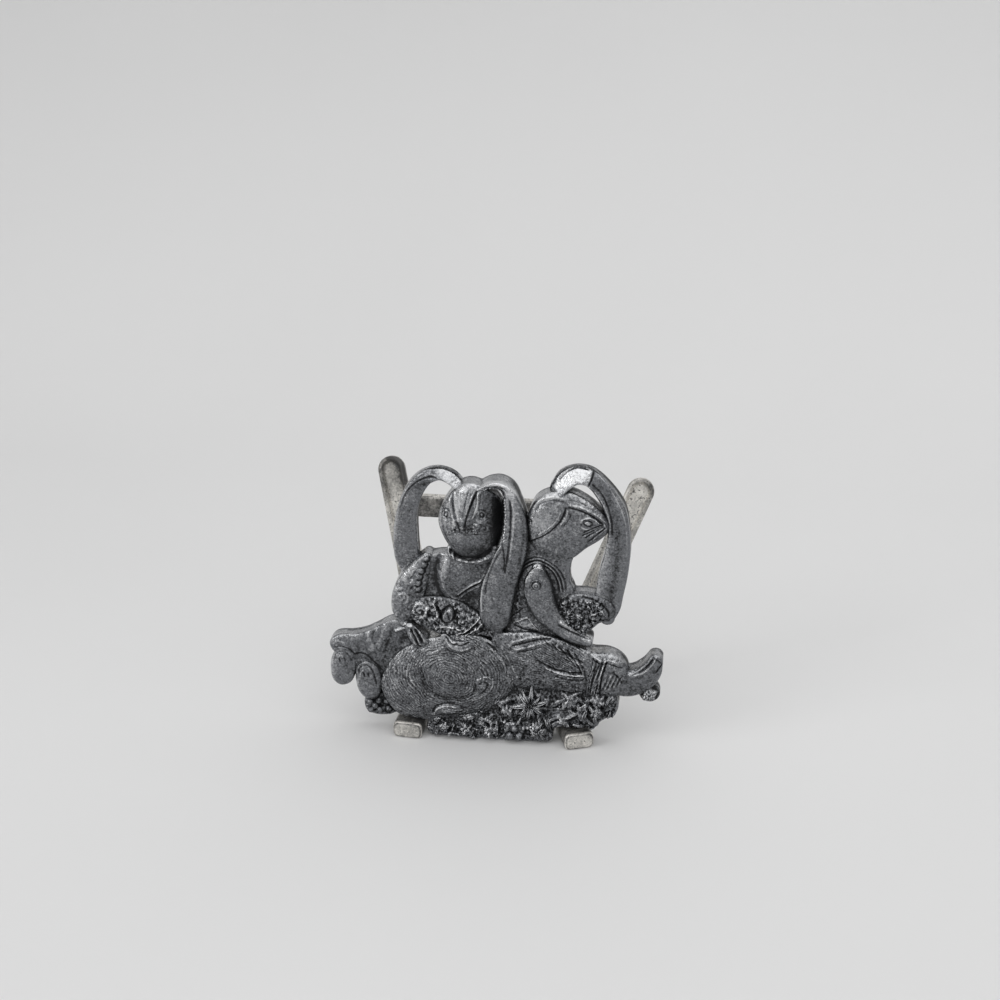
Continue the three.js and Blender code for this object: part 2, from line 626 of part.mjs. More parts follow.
// The crossbar between the arms, with ends cut to the arms' splay
function crossbarSolid() {
  const armAt = (leg, z) => leg.heel + (z - railHeight / 2) * Math.tan(leg.splay) / Math.cos(armLean);
  const halfArm = (leg) => armWidth / 2 / Math.cos(leg.splay) + barGap;
  const bottom = barTop - barHeight;
  const shape = new THREE.Shape();
  shape.moveTo(armAt(leftLeg, bottom) + halfArm(leftLeg) + barEdge, bottom + barEdge);
  shape.lineTo(armAt(rightLeg, bottom) - halfArm(rightLeg) - barEdge, bottom + barEdge);
  shape.lineTo(armAt(rightLeg, barTop) - halfArm(rightLeg) - barEdge, barTop - barEdge);
  shape.lineTo(armAt(leftLeg, barTop) + halfArm(leftLeg) + barEdge, barTop - barEdge);
  shape.closePath();
  const geometry = new THREE.ExtrudeGeometry(shape, {
    depth: barThickness - 2 * barEdge,
    bevelEnabled: true,
    bevelThickness: barEdge,
    bevelSize: barEdge,
    bevelSegments: 1,
  });
  const depth = heelDepth + (barTop - barHeight / 2 - railHeight / 2) * Math.tan(armLean);
  geometry.rotateX(Math.PI / 2);
  geometry.translate(0, depth + barThickness / 2 - barEdge, 0);
  return toSolid(geometry);
}

// Plate: the footprints of all seated forms, joined, with the rails' notches cut out
function plateSolid() {
  const footprint = (points) => {
    const outline = smoothOutline(points, plateCore.length * 3);
    const shape = new THREE.Shape(outline);
    const geometry = new THREE.ExtrudeGeometry(shape, { depth: plateThickness, bevelEnabled: false });
    geometry.rotateX(Math.PI / 2);
    return toSolid(geometry);
  };
  return footprint(plateCore);
}

const rails = [railSpace(leftLeg), railSpace(rightLeg)];
const slab = new THREE.BoxGeometry(slabReach, plateThickness, slabReach);
slab.translate(0, -plateThickness / 2, 0);
const slabSolid = toSolid(slab);
const footprints = [plateSolid()];
const cutters = [];

for (const [name, build] of forms) {
  let solid = build(0);
  for (const cutter of [...cutters, ...rails]) {
    solid = solid.subtract(cutter);
  }
  addMesh(name, solid, darkPewter);
  cutters.push(build(seam));
}

for (const [name, build] of forms) {
  if (!freeForms.has(name) && !liftedForms.has(name)) {
    footprints.push(build(0, 0).intersect(slabSolid));
  }
}

let plate = unionOf(footprints);
forms.forEach(([name], i) => {
  if (freeForms.has(name)) {
    plate = plate.subtract(cutters[i]);
  }
});
for (const rail of rails) {
  plate = plate.subtract(rail);
}
addMesh('back_plate', plate, darkPewter);

addMesh('left_leg', legSolid(leftLeg).subtract(dishSolid(leftLeg)), plainPewter);
addMesh('right_leg', legSolid(rightLeg).subtract(dishSolid(rightLeg)), plainPewter);
addMesh('crossbar', crossbarSolid(), plainPewter);
addMesh('left_solder_bead', solderSolid(leftLeg), plainPewter);
addMesh('right_solder_bead', solderSolid(rightLeg), plainPewter);

// The origin lies under the middle of the whole object, on the table
const bounds = new THREE.Box3().setFromObject(holder);
const middle = bounds.getCenter(new THREE.Vector3());
holder.position.set(-middle.x, -middle.y, -bounds.min.z);

export default holder;
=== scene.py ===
# %% [markdown]
# A cast pewter card holder: two rabbits in a flower bed, standing on a plain bent stand.
# The packed model gives every size. This file gives the sculpted surface, the finish and the light.
# Lengths are written in millimetres on the relief, as a modeller would measure them, and turned to metres
# only where a mesh is made.

# %% Load the frame
import math

import bmesh
import bpy
import numpy as np
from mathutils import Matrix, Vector


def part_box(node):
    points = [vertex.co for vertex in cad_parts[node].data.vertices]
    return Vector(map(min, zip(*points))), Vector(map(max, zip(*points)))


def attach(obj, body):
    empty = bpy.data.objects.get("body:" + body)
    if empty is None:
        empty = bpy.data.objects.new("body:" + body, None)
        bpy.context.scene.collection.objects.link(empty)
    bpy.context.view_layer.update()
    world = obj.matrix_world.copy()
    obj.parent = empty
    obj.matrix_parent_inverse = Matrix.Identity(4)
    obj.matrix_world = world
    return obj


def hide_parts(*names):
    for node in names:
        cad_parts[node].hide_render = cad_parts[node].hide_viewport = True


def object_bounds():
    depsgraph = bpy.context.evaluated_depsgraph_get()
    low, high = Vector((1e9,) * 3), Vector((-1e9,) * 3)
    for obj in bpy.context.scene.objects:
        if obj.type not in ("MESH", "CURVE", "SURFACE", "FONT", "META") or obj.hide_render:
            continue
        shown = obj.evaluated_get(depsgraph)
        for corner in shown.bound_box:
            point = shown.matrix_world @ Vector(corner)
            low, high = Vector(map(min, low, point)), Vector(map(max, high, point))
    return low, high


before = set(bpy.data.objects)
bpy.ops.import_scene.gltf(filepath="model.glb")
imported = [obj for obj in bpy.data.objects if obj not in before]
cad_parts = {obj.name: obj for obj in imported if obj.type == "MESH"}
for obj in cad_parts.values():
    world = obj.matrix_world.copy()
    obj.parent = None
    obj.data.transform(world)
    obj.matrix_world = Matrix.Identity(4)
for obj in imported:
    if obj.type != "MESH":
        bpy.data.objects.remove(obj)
cad_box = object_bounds()
MM = 0.001
print("size of the packed model, mm:", [round(v / MM, 2) for v in cad_box[1] - cad_box[0]])

# %% [markdown]
# The relief was drawn round its own middle, with its flat back as the zero of depth. The button on the right
# rabbit's sleeve is drawn at x 9.2, and the plate's back is depth 0, so these two pieces give the shift.

# %% Where the relief lies in the frame
BUTTON_X = 9.2
HAIR = 0.001 * MM  # how far the sculpture stays inside the packed model's box
low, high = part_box("buck_button")
SHIFT_X = (low.x + high.x) / 2 / MM - BUTTON_X
SHIFT_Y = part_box("back_plate")[1].y / MM
print("relief to frame, mm:", round(SHIFT_X, 3), round(SHIFT_Y, 3))


def to_frame(x, depth, z):
    """Relief millimetres, with depth measured forward from the flat back, as metres in the frame.
    A point that would leave the packed model's box by a hair is laid on its side."""
    placed = np.stack([(x + SHIFT_X) * MM, (SHIFT_Y - depth) * MM, z * MM], axis=-1)
    return np.clip(placed, np.array(cad_box[0]) + HAIR, np.array(cad_box[1]) - HAIR)


# %% [markdown]
# Every outline and every engraved line is a smooth curve through a few points. A centripetal spline passes
# through its points without loops or overshoot, which is why it suits drawn outlines.

# %% Smooth curves
def smooth_path(points, closed=False, steps=8):
    """A smooth curve through rows of [x, z, ...], as many rows."""
    p = np.array(points, float)
    if closed:
        p = np.vstack([p[-1:], p, p[:2]])
    else:
        p = np.vstack([2 * p[:1] - p[1:2], p, 2 * p[-1:] - p[-2:-1]])
    rows = []
    for a, b, c, d in zip(p, p[1:], p[2:], p[3:]):
        gaps = [math.hypot(*(v - u)[:2]) ** 0.5 + 1e-9 for u, v in ((a, b), (b, c), (c, d))]
        k0, k1, k2, k3 = np.cumsum([0.0] + gaps)
        t = np.linspace(k1, k2, steps, endpoint=False)[:, None]
        ab = ((k1 - t) * a + (t - k0) * b) / (k1 - k0)
        bc = ((k2 - t) * b + (t - k1) * c) / (k2 - k1)
        cd = ((k3 - t) * c + (t - k2) * d) / (k3 - k2)
        abc = ((k2 - t) * ab + (t - k0) * bc) / (k2 - k0)
        bcd = ((k3 - t) * bc + (t - k1) * cd) / (k3 - k1)
        rows.append(((k2 - t) * abc + (t - k1) * bcd) / (k2 - k1))
    if not closed:
        rows.append(p[-2:-1])
    return np.vstack(rows)


print("a smooth path through 4 points has", len(smooth_path([[0, 0], [1, 2], [3, 2], [4, 0]])), "rows")

# %% [markdown]
# Four more tools for paths: close one, measure it, spread its rows evenly, and find how far from it a point is.

# %% Paths
def closed_path(path):
    """The path with its first row once more at its end."""
    return np.vstack([path, path[:1]])


def distances(path):
    """How far along the path each row lies."""
    return np.concatenate([[0], np.cumsum(np.hypot(*np.diff(path[:, :2], axis=0).T))])


def path_length(path):
    return float(np.hypot(*np.diff(path[:, :2], axis=0).T).sum())


def even_path(path, count, closed=False):
    """The same curve with its rows spread evenly along it."""
    p = closed_path(path) if closed else path
    reach = distances(p)
    at = np.linspace(0, reach[-1], count, endpoint=not closed)
    return np.stack([np.interp(at, reach, column) for column in p.T], axis=1)


def dots(points, count):
    """Places spread evenly along a smooth curve."""
    return even_path(smooth_path(points), count)[:, :2]


def nearest(x, z, path):
    """For each point: its distance from the path, and how far along the path that is."""
    best = np.full(x.shape, np.inf)
    along = np.zeros(x.shape)
    start = 0.0
    for (ax, az), (bx, bz) in zip(path[:-1, :2], path[1:, :2]):
        dx, dz = bx - ax, bz - az
        length = math.hypot(dx, dz) + 1e-12
        t = np.clip(((x - ax) * dx + (z - az) * dz) / length**2, 0, 1)
        ex, ez = x - ax - t * dx, z - az - t * dz
        gap = ex * ex + ez * ez
        closer = gap < best
        best = np.where(closer, gap, best)
        along = np.where(closer, start + t * length, along)
        start += length
    return np.sqrt(best), along


print("length of a square's outline:", path_length(closed_path(np.array([[0, 0], [1, 0], [1, 1], [0, 1]]))))

# %% [markdown]
# Cast metal is never quite smooth. Value noise gives soft random swells: a random height at each knot of a
# grid, blended between the knots. A second kind keeps the distance to scattered points, which gives the
# packed round grains of leaves and petals seen from afar.

# %% Random swells and grains
SEED_TURN = 0.7  # each seed turns its grid by this many radians more, so that no two grids line up
GRAIN_REACH = 0.4  # how far a grain reaches, as a share of the squared cell


def knot_values(i, j, seed):
    """A repeatable random number between 0 and 1 for each whole-number knot."""
    n = (i.astype(np.int64) * 374761393 + j.astype(np.int64) * 668265263 + seed * 974634777) & 0x7FFFFFFF
    n = ((n ^ (n >> 13)) * 1274126177) & 0x7FFFFFFF
    return ((n ^ (n >> 16)) & 0xFFFF) / 65535.0


def on_grid(x, z, size, seed):
    """Where each point lies on the seed's grid of that size, and the knot below it."""
    c, s = math.cos(seed * SEED_TURN), math.sin(seed * SEED_TURN)
    u, v = (x * c + z * s) / size, (z * c - x * s) / size
    return u, v, np.floor(u), np.floor(v)


def swells(x, z, size, seed):
    """Soft noise between -1 and 1 with swells of that size in millimetres."""
    u, v, i, j = on_grid(x, z, size, seed)
    fu, fv = u - i, v - j
    fu, fv = fu * fu * (3 - 2 * fu), fv * fv * (3 - 2 * fv)
    low_row = knot_values(i, j, seed) * (1 - fu) + knot_values(i + 1, j, seed) * fu
    high_row = knot_values(i, j + 1, seed) * (1 - fu) + knot_values(i + 1, j + 1, seed) * fu
    return (low_row * (1 - fv) + high_row * fv) * 2 - 1


def grains(x, z, size, seed):
    """Packed round grains of that size: 1 on a grain's crown, 0 or less between grains."""
    u, v, i, j = on_grid(x, z, size, seed)
    best = np.full(x.shape, 9.0)
    for di in (-1, 0, 1):
        for dj in (-1, 0, 1):
            cu = i + di + knot_values(i + di, j + dj, seed)
            cv = j + dj + knot_values(i + di, j + dj, seed + 1)
            big = 0.75 + 0.6 * knot_values(i + di, j + dj, seed + 2)
            best = np.minimum(best, ((u - cu) ** 2 + (v - cv) ** 2) / big)
    return 1 - best / GRAIN_REACH


print("noise at one point:", round(float(swells(np.array([1.3]), np.array([2.7]), 1.0, 3)[0]), 3))

# %% [markdown]
# Masks say where a tool works: 1 where it works fully and 0 where it doesn't. A round spot, a ramp across the
# form, and offsets in a turned frame are all that the sculpting below needs.

# %% Masks
def disc(x, z, radius, steps):
    """A round outline."""
    return [[x + radius * math.cos(k * math.tau / steps), z + radius * math.sin(k * math.tau / steps)]
            for k in range(steps)]


def around(x, z, wide, tall=None):
    """A soft mask, 1 in the middle and 0 far off."""
    tall = tall or wide
    return lambda u, v: np.exp(-(((u - x) / wide) ** 2 + ((v - z) / tall) ** 2))


def ramp(value, start, width):
    """0 before the start and 1 past the ramp's width. A width below zero makes it rise the other way."""
    return np.clip((value - start) / width, 0, 1)


def turned(dx, dz, turn):
    """The same offsets, seen in a frame that is turned by that many degrees."""
    c, s = math.cos(math.radians(turn)), math.sin(math.radians(turn))
    return dx * c + dz * s, dz * c - dx * s


print("a ramp at 3, from 2 to 4:", ramp(3, 2, 2))

# %% [markdown]
# Two kinds of piece are made of rings of points: the sculpted forms, and the bars of the stand. Each ring is a
# row of the mesh, and every point keeps two marks for the finish: its tone, which is how rubbed it is and also
# carries painted highlights and painted shade, and its hollow, which is how deep it lies and on the forms also
# carries painted shade on slopes that face away from the upper left.

# %% Meshes from rings
def new_object(name, data):
    """An object of the scene that shows that data."""
    obj = bpy.data.objects.new(name, data)
    bpy.context.scene.collection.objects.link(obj)
    return obj


def keep_marks(data, tone, hollow):
    """Stores the two marks of the finish on the mesh's points."""
    for layer, values in (("tone", tone), ("hollow", hollow)):
        data.attributes.new(layer, "FLOAT", "POINT").data.foreach_set("value", values.ravel().astype(np.float32))


def ring_mesh(name, points, rows, count, tone, hollow, weld, ends_only=False):
    """A smooth closed mesh from rows of rings. Points of the first and last ring that share a place are
    welded, or points of all rings."""
    r, i = np.meshgrid(np.arange(rows - 1), np.arange(count), indexing="ij")
    nxt = (i + 1) % count
    quads = np.stack([r * count + i, r * count + nxt, (r + 1) * count + nxt, (r + 1) * count + i], -1)
    data = bpy.data.meshes.new(name)
    data.from_pydata(points.tolist(), [], quads.reshape(-1, 4).tolist())
    keep_marks(data, tone, hollow)
    work = bmesh.new()
    work.from_mesh(data)
    work.verts.ensure_lookup_table()
    welded = work.verts
    if ends_only:
        welded = [work.verts[k] for k in (*range(count), *range((rows - 1) * count, rows * count))]
    bmesh.ops.remove_doubles(work, verts=welded, dist=weld * MM)
    bmesh.ops.recalc_face_normals(work, faces=work.faces)
    for face in work.faces:
        face.smooth = True
    work.to_mesh(data)
    work.free()
    return new_object(name, data)


print("ring meshes ready")

# %% [markdown]
# A sculpted form is built the way a wax modeller works: first a soft pad with the right outline, then lines,
# beads and textures pressed into it or raised on it. The pad is rings of points that shrink from the outline
# to a heart, which is one point, or a middle line for a long form such as an ear. Rings follow the outline,
# so the edge stays crisp, which a plain square grid can't give. Its section is a rounded rectangle: a higher
# roundness gives a flatter top and steeper sides.

# %% The wax pad
CELL, FINE_CELL = 0.15, 0.12  # millimetres between neighbouring points
SEAT = 1.8  # depth of the plate that carries the forms
BURIED = 0.9  # the forms start inside the plate
SIDE_STEP = 0.35  # between the rows of a form's upright side
CALM_RIM = 0.4  # nothing is worked this near the rim, so that the outline stays crisp
LEAST_WALL = 0.3  # a leaning face sinks no nearer to the form's back than this
TONE_HEIGHT = 0.3  # metal that stands this proud is rubbed bright, and as far sunk it stays black


class WaxPad:
    """Rows of rings, each with x, z and a height above the relief's back, in millimetres."""

    def __init__(self, name, rim, heart, front, edge=None, seat=SEAT, back=BURIED, roundness=4.0, wall=0.72,
                 cell=CELL):
        self.name = name
        self.seed = sum(ord(letter) * (k + 1) for k, letter in enumerate(name))
        front = np.broadcast_to(np.asarray(front, float), len(rim))
        reach = np.hypot(*(rim - heart).T)
        at = self.section_angles(reach.mean(), (front.mean() - seat) * (1 - wall), roundness, cell)
        shrink = np.cos(at) ** (2 / roundness)
        shrink[-1] = 0
        swell = np.sin(at) ** (2 / roundness)
        edge = seat + (front - seat) * wall if edge is None else edge
        climb = np.linspace(0, 1, max(2, int((edge.mean() - back) / SIDE_STEP)), endpoint=False)
        x = [heart[:, 0]] + [rim[:, 0]] * len(climb)
        z = [heart[:, 1]] + [rim[:, 1]] * len(climb)
        h = [np.full(len(rim), back)] + [back + (edge - back) * c for c in climb]
        for s, f in zip(shrink, swell):
            x.append(heart[:, 0] + (rim[:, 0] - heart[:, 0]) * s)
            z.append(heart[:, 1] + (rim[:, 1] - heart[:, 1]) * s)
            h.append(edge + (front - edge) * f)
        self.x, self.z, self.h = np.array(x), np.array(z), np.array(h)
        self.tone = np.zeros(self.x.shape)
        self.first = 1 + len(climb)  # the first row of the front
        room = (1 - shrink[:, None]) * reach[None, :]
        self.free = np.vstack([np.zeros((self.first, len(rim))), np.clip(room / CALM_RIM, 0, 1)])
        self.shrink = np.concatenate([np.zeros(self.first), shrink])[:, None]

    @staticmethod
    def section_angles(reach, rise, roundness, cell):
        """Angles that put the rows one cell apart along the curve of the section."""
        angle = np.linspace(0, math.pi / 2, 600)
        across, upward = np.cos(angle) ** (2 / roundness), np.sin(angle) ** (2 / roundness)
        arc = np.concatenate([[0], np.cumsum(np.hypot(np.diff(across) * reach, np.diff(upward) * rise))])
        return np.interp(np.linspace(0, arc[-1], max(8, int(arc[-1] / cell))), arc, angle)

    def near(self, low=(-np.inf, -np.inf), high=(np.inf, np.inf)):
        """Which points of the front lie in a box, or all points of the front."""
        inside = (self.x > low[0]) & (self.x < high[0]) & (self.z > low[1]) & (self.z < high[1])
        inside[: self.first] = False
        return np.nonzero(inside)

    def spot(self, x, z, reach, turn=0.0):
        """The points near a place, and their offsets from it in a turned frame."""
        picked = self.near((x - reach, z - reach), (x + reach, z + reach))
        return picked, *turned(self.x[picked] - x, self.z[picked] - z, turn)

    def lift(self, picked, height, tone=None):
        """Raises or sinks the picked points, less near the rim, and keeps how proud or sunk they are."""
        self.h[picked] += height * self.free[picked]
        self.tone[picked] += (height / TONE_HEIGHT if tone is None else tone) * self.free[picked]

    def cover(self, picked, height, tone):
        """Lays something over the picked points where it stands higher than what is there."""
        height = self.h[picked] * (1 - self.free[picked]) + height * self.free[picked]
        higher = height > self.h[picked]
        self.h[picked] = np.where(higher, height, self.h[picked])
        self.tone[picked] = np.where(higher, tone, self.tone[picked])

    def tilt(self, amount):
        """Leans a strap's face: its left side rises by the amount and its right side sinks."""
        lean = amount(self.along) * self.across
        front = self.h[self.first :] + lean[self.first :]
        self.h[self.first :] = np.maximum(front, self.h[0].max() + LEAST_WALL)

    def rub(self, where, amount):
        """Brightens the finish, as wear and as a painted highlight, or below zero darkens it, as left-over black and
        as painted shade, without moving the metal.
        """
        picked = self.near()
        self.tone[picked] += amount * where(self.x[picked], self.z[picked])

    def shift_tone_all(self, amount):
        """Brightens the whole front alike, or below zero darkens it."""
        self.tone[self.near()] += amount

    def rub_and_paint_light_spots(self, rows):
        """Soft spots of wear and painted light. Each row gives x and z, how wide and how tall, and the amount."""
        for x, z, wide, tall, amount in rows:
            self.rub(around(x, z, wide, tall), amount)


print("cell", CELL, "mm")

# %% [markdown]
# The modeller's hand tools come next: a blunt knife for lines, a ball for swellings, hollows and beads, and a
# cutter for leaves. Each works on the points near it and leaves the others alone.

# %% Hand tools
NOWHERE = -9.0  # a height that never covers anything
RING_STEPS = 12


class WorkedPad(WaxPad):
    """A wax pad that can be worked by hand."""

    def line(self, points, width, height, closed=False):
        """A raised line, or an engraved one where height is below zero. It fades at open ends."""
        path = smooth_path(points, closed)
        if closed:
            path = closed_path(path)
        picked = self.near(path[:, :2].min(0) - 2 * width, path[:, :2].max(0) + 2 * width)
        gap, along = nearest(self.x[picked], self.z[picked], path)
        shape = np.exp(-((gap / (0.5 * width)) ** 2))
        if not closed:
            ends = np.minimum(along, path_length(path) - along) / width
            shape *= np.clip(0.25 + ends, 0, 1)
        self.lift(picked, height * shape)

    def lines(self, rows):
        """Several lines. Each row gives a width and a height, and then the points that its line passes."""
        for width, height, *points in rows:
            self.line(points, width, height)

    def hump(self, x, z, wide, tall, height, turn=0.0):
        """A soft swelling, or a hollow."""
        picked, u, v = self.spot(x, z, 2.2 * max(wide, tall), turn)
        self.lift(picked, height * np.exp(-((u / wide) ** 2 + (v / tall) ** 2)), 0)

    def humps(self, rows):
        """Several swellings or hollows, each a row of what hump takes."""
        for row in rows:
            self.hump(*row)

    def bead(self, x, z, radius, height, squash=1.0, turn=0.0):
        """A round or oval bead with a dark ring where it meets the ground."""
        picked, u, v = self.spot(x, z, 1.6 * radius * max(squash, 1), turn)
        far = np.hypot(u / squash, v) / radius
        dome = np.sqrt(np.clip(1 - far**2, 0, 1)) * height
        ring = np.exp(-(((far - 1.12) / 0.16) ** 2)) * 0.35
        self.lift(picked, dome - ring * height * 0.5, dome / height * 0.9 - ring * 2)

    def beads(self, points, spacing, radius, height):
        """A string of beads."""
        for x, z in dots(points, max(2, int(path_length(smooth_path(points)) / spacing) + 1)):
            self.bead(x, z, radius, height)

    def dome(self, x, z, radius, top, squash=1.0, turn=0.0):
        """A smooth dome that rises to one height and hides what lies under it."""
        picked, u, v = self.spot(x, z, 1.1 * radius * max(squash, 1), turn)
        far = np.hypot(u / squash, v) / radius
        drop = 0.9 * radius * (1 - np.sqrt(np.clip(1 - far**2, 0, 1)))
        self.cover(picked, np.where(far < 1, top - drop, NOWHERE), 0)

    def ring(self, x, z, radius, width, height, squash=1.0, turn=0.0):
        """A raised or engraved ring, round or oval."""
        points = []
        for k in range(RING_STEPS):
            angle = k / RING_STEPS * math.tau
            u, v = turned(radius * squash * math.cos(angle), radius * math.sin(angle), -turn)
            points.append([x + u, z + v])
        self.line(points, width, height, closed=True)

    def leaf(self, x, z, turn, length, half, height, vein=0.25, ground=None):
        """A pointed blade lying on the form, with a sunk vein down its middle."""
        ux, uz = length * math.cos(math.radians(turn)), length * math.sin(math.radians(turn))
        low_corner = (min(x, x + ux) - half, min(z, z + uz) - half)
        high_corner = (max(x, x + ux) + half, max(z, z + uz) + half)
        picked = self.near(low_corner, high_corner)
        u, v = turned(self.x[picked] - x, self.z[picked] - z, turn)
        u = u / length
        wide = half * np.clip(np.sin(math.pi * np.clip(u, 0, 1) ** 0.8), 1e-3, 1)
        across = np.abs(v) / wide
        inside = (u > 0) & (u < 1) & (across < 1)
        body = np.sqrt(np.clip(1 - across**2, 0, 1)) * (0.45 + 0.55 * np.sin(math.pi * np.clip(u, 0.02, 0.98)))
        crease = vein * np.exp(-((across / 0.22) ** 2))
        base = (self.h if ground is None else ground)[picked]
        self.cover(picked, np.where(inside, base + height * (body - crease), NOWHERE), 1.1 * body - 0.35 - crease)


print("hand tools:", [name for name in vars(WorkedPad) if not name.startswith("_")])

# %% [markdown]
# Textures cover a whole form or the part that a mask picks: rows of strokes as on coarse cloth, strokes that
# run in rings round a haunch, packed grains as on blossom, and soft uneven ground. Every stroke is broken up
# by noise, because a hand never cuts two alike.

# %% Textures
class Form(WorkedPad):
    """One sculpted form of the relief."""

    def ovals(self, picked, x, z, squash, turn):
        """How far the picked points lie from a place, measured in ovals, and in which direction."""
        u, v = turned(self.x[picked] - x, self.z[picked] - z, turn)
        u = u / squash
        return np.hypot(u, v), np.arctan2(v, u)

    def swirl(self, x, z, spacing, reach, height):
        """Engraved rings round a point that wind like a shell and fade outward."""
        picked, dx, dz = self.spot(x, z, reach)
        radius, angle = self.ovals(picked, x, z, 1.0, 0.0)
        radius = radius + 0.25 * swells(dx, dz, 1.6, self.seed)
        wave = np.cos(math.tau * radius / spacing + angle)
        self.lift(picked, height * wave * np.clip((reach - radius) / (0.4 * reach), 0, 1))

    def ring_strokes(self, x, z, spacing, height, where, squash=1.0, turn=0.0):
        """Short engraved strokes that follow ovals round a point, as fur or folds round a haunch."""
        picked = self.near()
        dx, dz = self.x[picked] - x, self.z[picked] - z
        radius, angle = self.ovals(picked, x, z, squash, turn)
        radius = radius + 0.45 * swells(dx, dz, 2.6, self.seed + 11) + 0.16 * swells(dx, dz, 0.9, self.seed + 12)
        lane = np.floor(radius / spacing)
        lengthwise = angle * (lane + 0.5) * spacing / 2.4 + 7.3 * knot_values(lane, lane * 0, self.seed)
        broken = np.clip(0.5 + swells(lengthwise, lane * 3.7, 0.9, self.seed + 13), 0, 1)
        stroke = np.cos(math.tau * radius / spacing)
        self.lift(picked, height * stroke * (0.25 + 0.9 * broken) * where(self.x[picked], self.z[picked]))

    def hatch(self, turn, spacing, height, where):
        """Rows of fine strokes in one direction, broken up as hand engraving is."""
        picked = self.near()
        x, z = self.x[picked], self.z[picked]
        u, v = turned(x, z, turn)
        v = v + 0.35 * swells(x, z, 2.2, self.seed + 5)
        stroke = np.cos(math.tau * v / spacing)
        broken = np.clip(0.6 + 0.9 * swells(u / 3, v / (spacing * 0.9), 0.9, self.seed + 9), 0, 1)
        self.lift(picked, height * stroke * broken * where(x, z))

    def rough(self, size, height, where=None):
        """Soft uneven ground."""
        picked = self.near()
        x, z = self.x[picked], self.z[picked]
        noise = swells(x, z, size, self.seed) * 0.65 + swells(x, z, size / 2.1, self.seed + 3) * 0.35
        self.lift(picked, height * noise * (1 if where is None else where(x, z)))

    def pebbled(self, size, height, where=None):
        """Packed round grains, as on fur, moss or blossom."""
        picked = self.near()
        x, z = self.x[picked], self.z[picked]
        share = 1 if where is None else where(x, z)
        grain = grains(x, z, size, self.seed)
        self.lift(picked, height * (grain - 0.4) * share, (grain - 0.45) * 1.1 * share * min(1, height / 0.25))

    def mesh(self):
        """The finished object, in metres in the frame."""
        points = to_frame(self.x, self.h, self.z).reshape(-1, 3)
        return ring_mesh(self.name + "_cast", points, *self.x.shape, self.tone, self.hollow, 0.01, ends_only=True)


forms = {}
print("textures:", [name for name in vars(Form) if not name.startswith("_")])

# %% [markdown]
# Two ways to start a form. A pad has a closed outline that swells towards a heart. A strap follows a middle
# line with a half width at each point, which is how an ear, an arm or a paw is laid.

# %% Pads and straps
def pad(name, outline, front, heart, cell=CELL, **shape):
    """A swelling pad. Its heart is one point or a short middle line. Each outline point may give the height of
    the edge there, which is how two forms are made to run into each other."""
    path = smooth_path(outline, closed=True)
    count = int(path_length(closed_path(path)) / cell)
    rim = even_path(path, count, closed=True)
    if rim.shape[1] == 3:  # the outline's third number is the height of the form's edge
        shape["edge"] = rim[:, 2]
        rim = rim[:, :2]
    spine = np.array(heart, float).reshape(-1, 2)
    if len(spine) == 1:
        middle = np.repeat(spine, count, axis=0)
    else:
        along = nearest(rim[:, 0], rim[:, 1], spine)[1]
        middle = np.stack([np.interp(along, distances(spine), column) for column in spine.T], axis=1)
    forms[name] = Form(name, rim, middle, front, cell=cell, **shape)
    return forms[name]


def strap(name, points, **shape):
    """A long form: rows of [x, z, half width, front] down its middle, with round ends."""
    path = smooth_path(points)
    count = int(path_length(path) / CELL)
    middle = even_path(path, count)
    run = np.gradient(middle[:, :2], axis=0)
    run /= np.hypot(*run.T)[:, None]
    left = np.stack([-run[:, 1], run[:, 0]], axis=1)
    half = middle[:, 2:3]
    pieces = []  # of the outline: its points, their hearts and fronts, which side they are on, how far along

    def cap(k, turn_from):
        arc = int(math.pi * middle[k, 2] / CELL)
        angle = turn_from - np.linspace(0, math.pi, arc + 2)[1:-1, None]
        spokes = np.cos(angle) * run[k] + np.sin(angle) * left[k]
        ones = np.ones(arc)
        pieces.append((middle[k, :2] + spokes * half[k], np.repeat(middle[k : k + 1, :2], arc, axis=0),
                       middle[k, 3] * ones, np.sin(angle[:, 0]), (k > 0) * ones))

    def side(which):
        rows = middle[::which]
        pieces.append(((middle[:, :2] + which * left * half)[::which], rows[:, :2], rows[:, 3],
                       which * np.ones(count), np.linspace(0, 1, count)[::which]))

    side(1)
    cap(count - 1, math.pi / 2)
    side(-1)
    cap(0, -math.pi / 2)
    rim, heart, front, across, along = (np.concatenate(column) for column in zip(*pieces))
    made = Form(name, rim, heart, front, **shape)
    made.across = made.shrink * across[None, :]
    made.along = np.broadcast_to(along[None, :], made.x.shape)
    forms[name] = made
    return made


print("pads and straps ready")

# %% [markdown]
# The doe looks straight out. The real face is an oval pad with a broad nose that narrows downward between two
# creases, small rimmed eyes and a ragged fringe of whiskers over a smooth round chin.

# %% Doe: head
head = pad("doe_head", [
    [-6.6, 48.2, 4.4], [-9.6, 48.9, 4], [-11.4, 50.8, 3.8], [-12.9, 53.6, 3.7], [-13.7, 56.9, 3.7],
    [-12.9, 60.4, 3.7], [-10.9, 63.7, 3.8], [-8.7, 65.9, 4], [-6, 66.6, 4.1], [-3.4, 65.7, 4], [-0.4, 63.6, 3.2],
    [1.2, 60.8, 2.7], [1.9, 57.4, 2.6], [1.4, 53.6, 2.6], [-1.6, 49.8, 3.4],
], 6.0, [[-7, 55], [-7, 61]], roundness=2.15)
head.humps([
    (0.9, 58.2, 1.7, 6, -2.0), (-7.4, 61.8, 1.7, 4.2, 0.9), (-7.7, 57.4, 0.9, 1.8, 0.8),
    (-6.5, 52.4, 3.2, 2.3, 0.8), (-3.6, 62, 0.9, 2.6, 0.7, 10), (-11.3, 61.4, 0.8, 2.4, 0.4, -12),
    (-9.8, 57.2, 0.7, 1.0, 0.5), (-4.3, 56.8, 1.2, 1.0, 0.4),
])
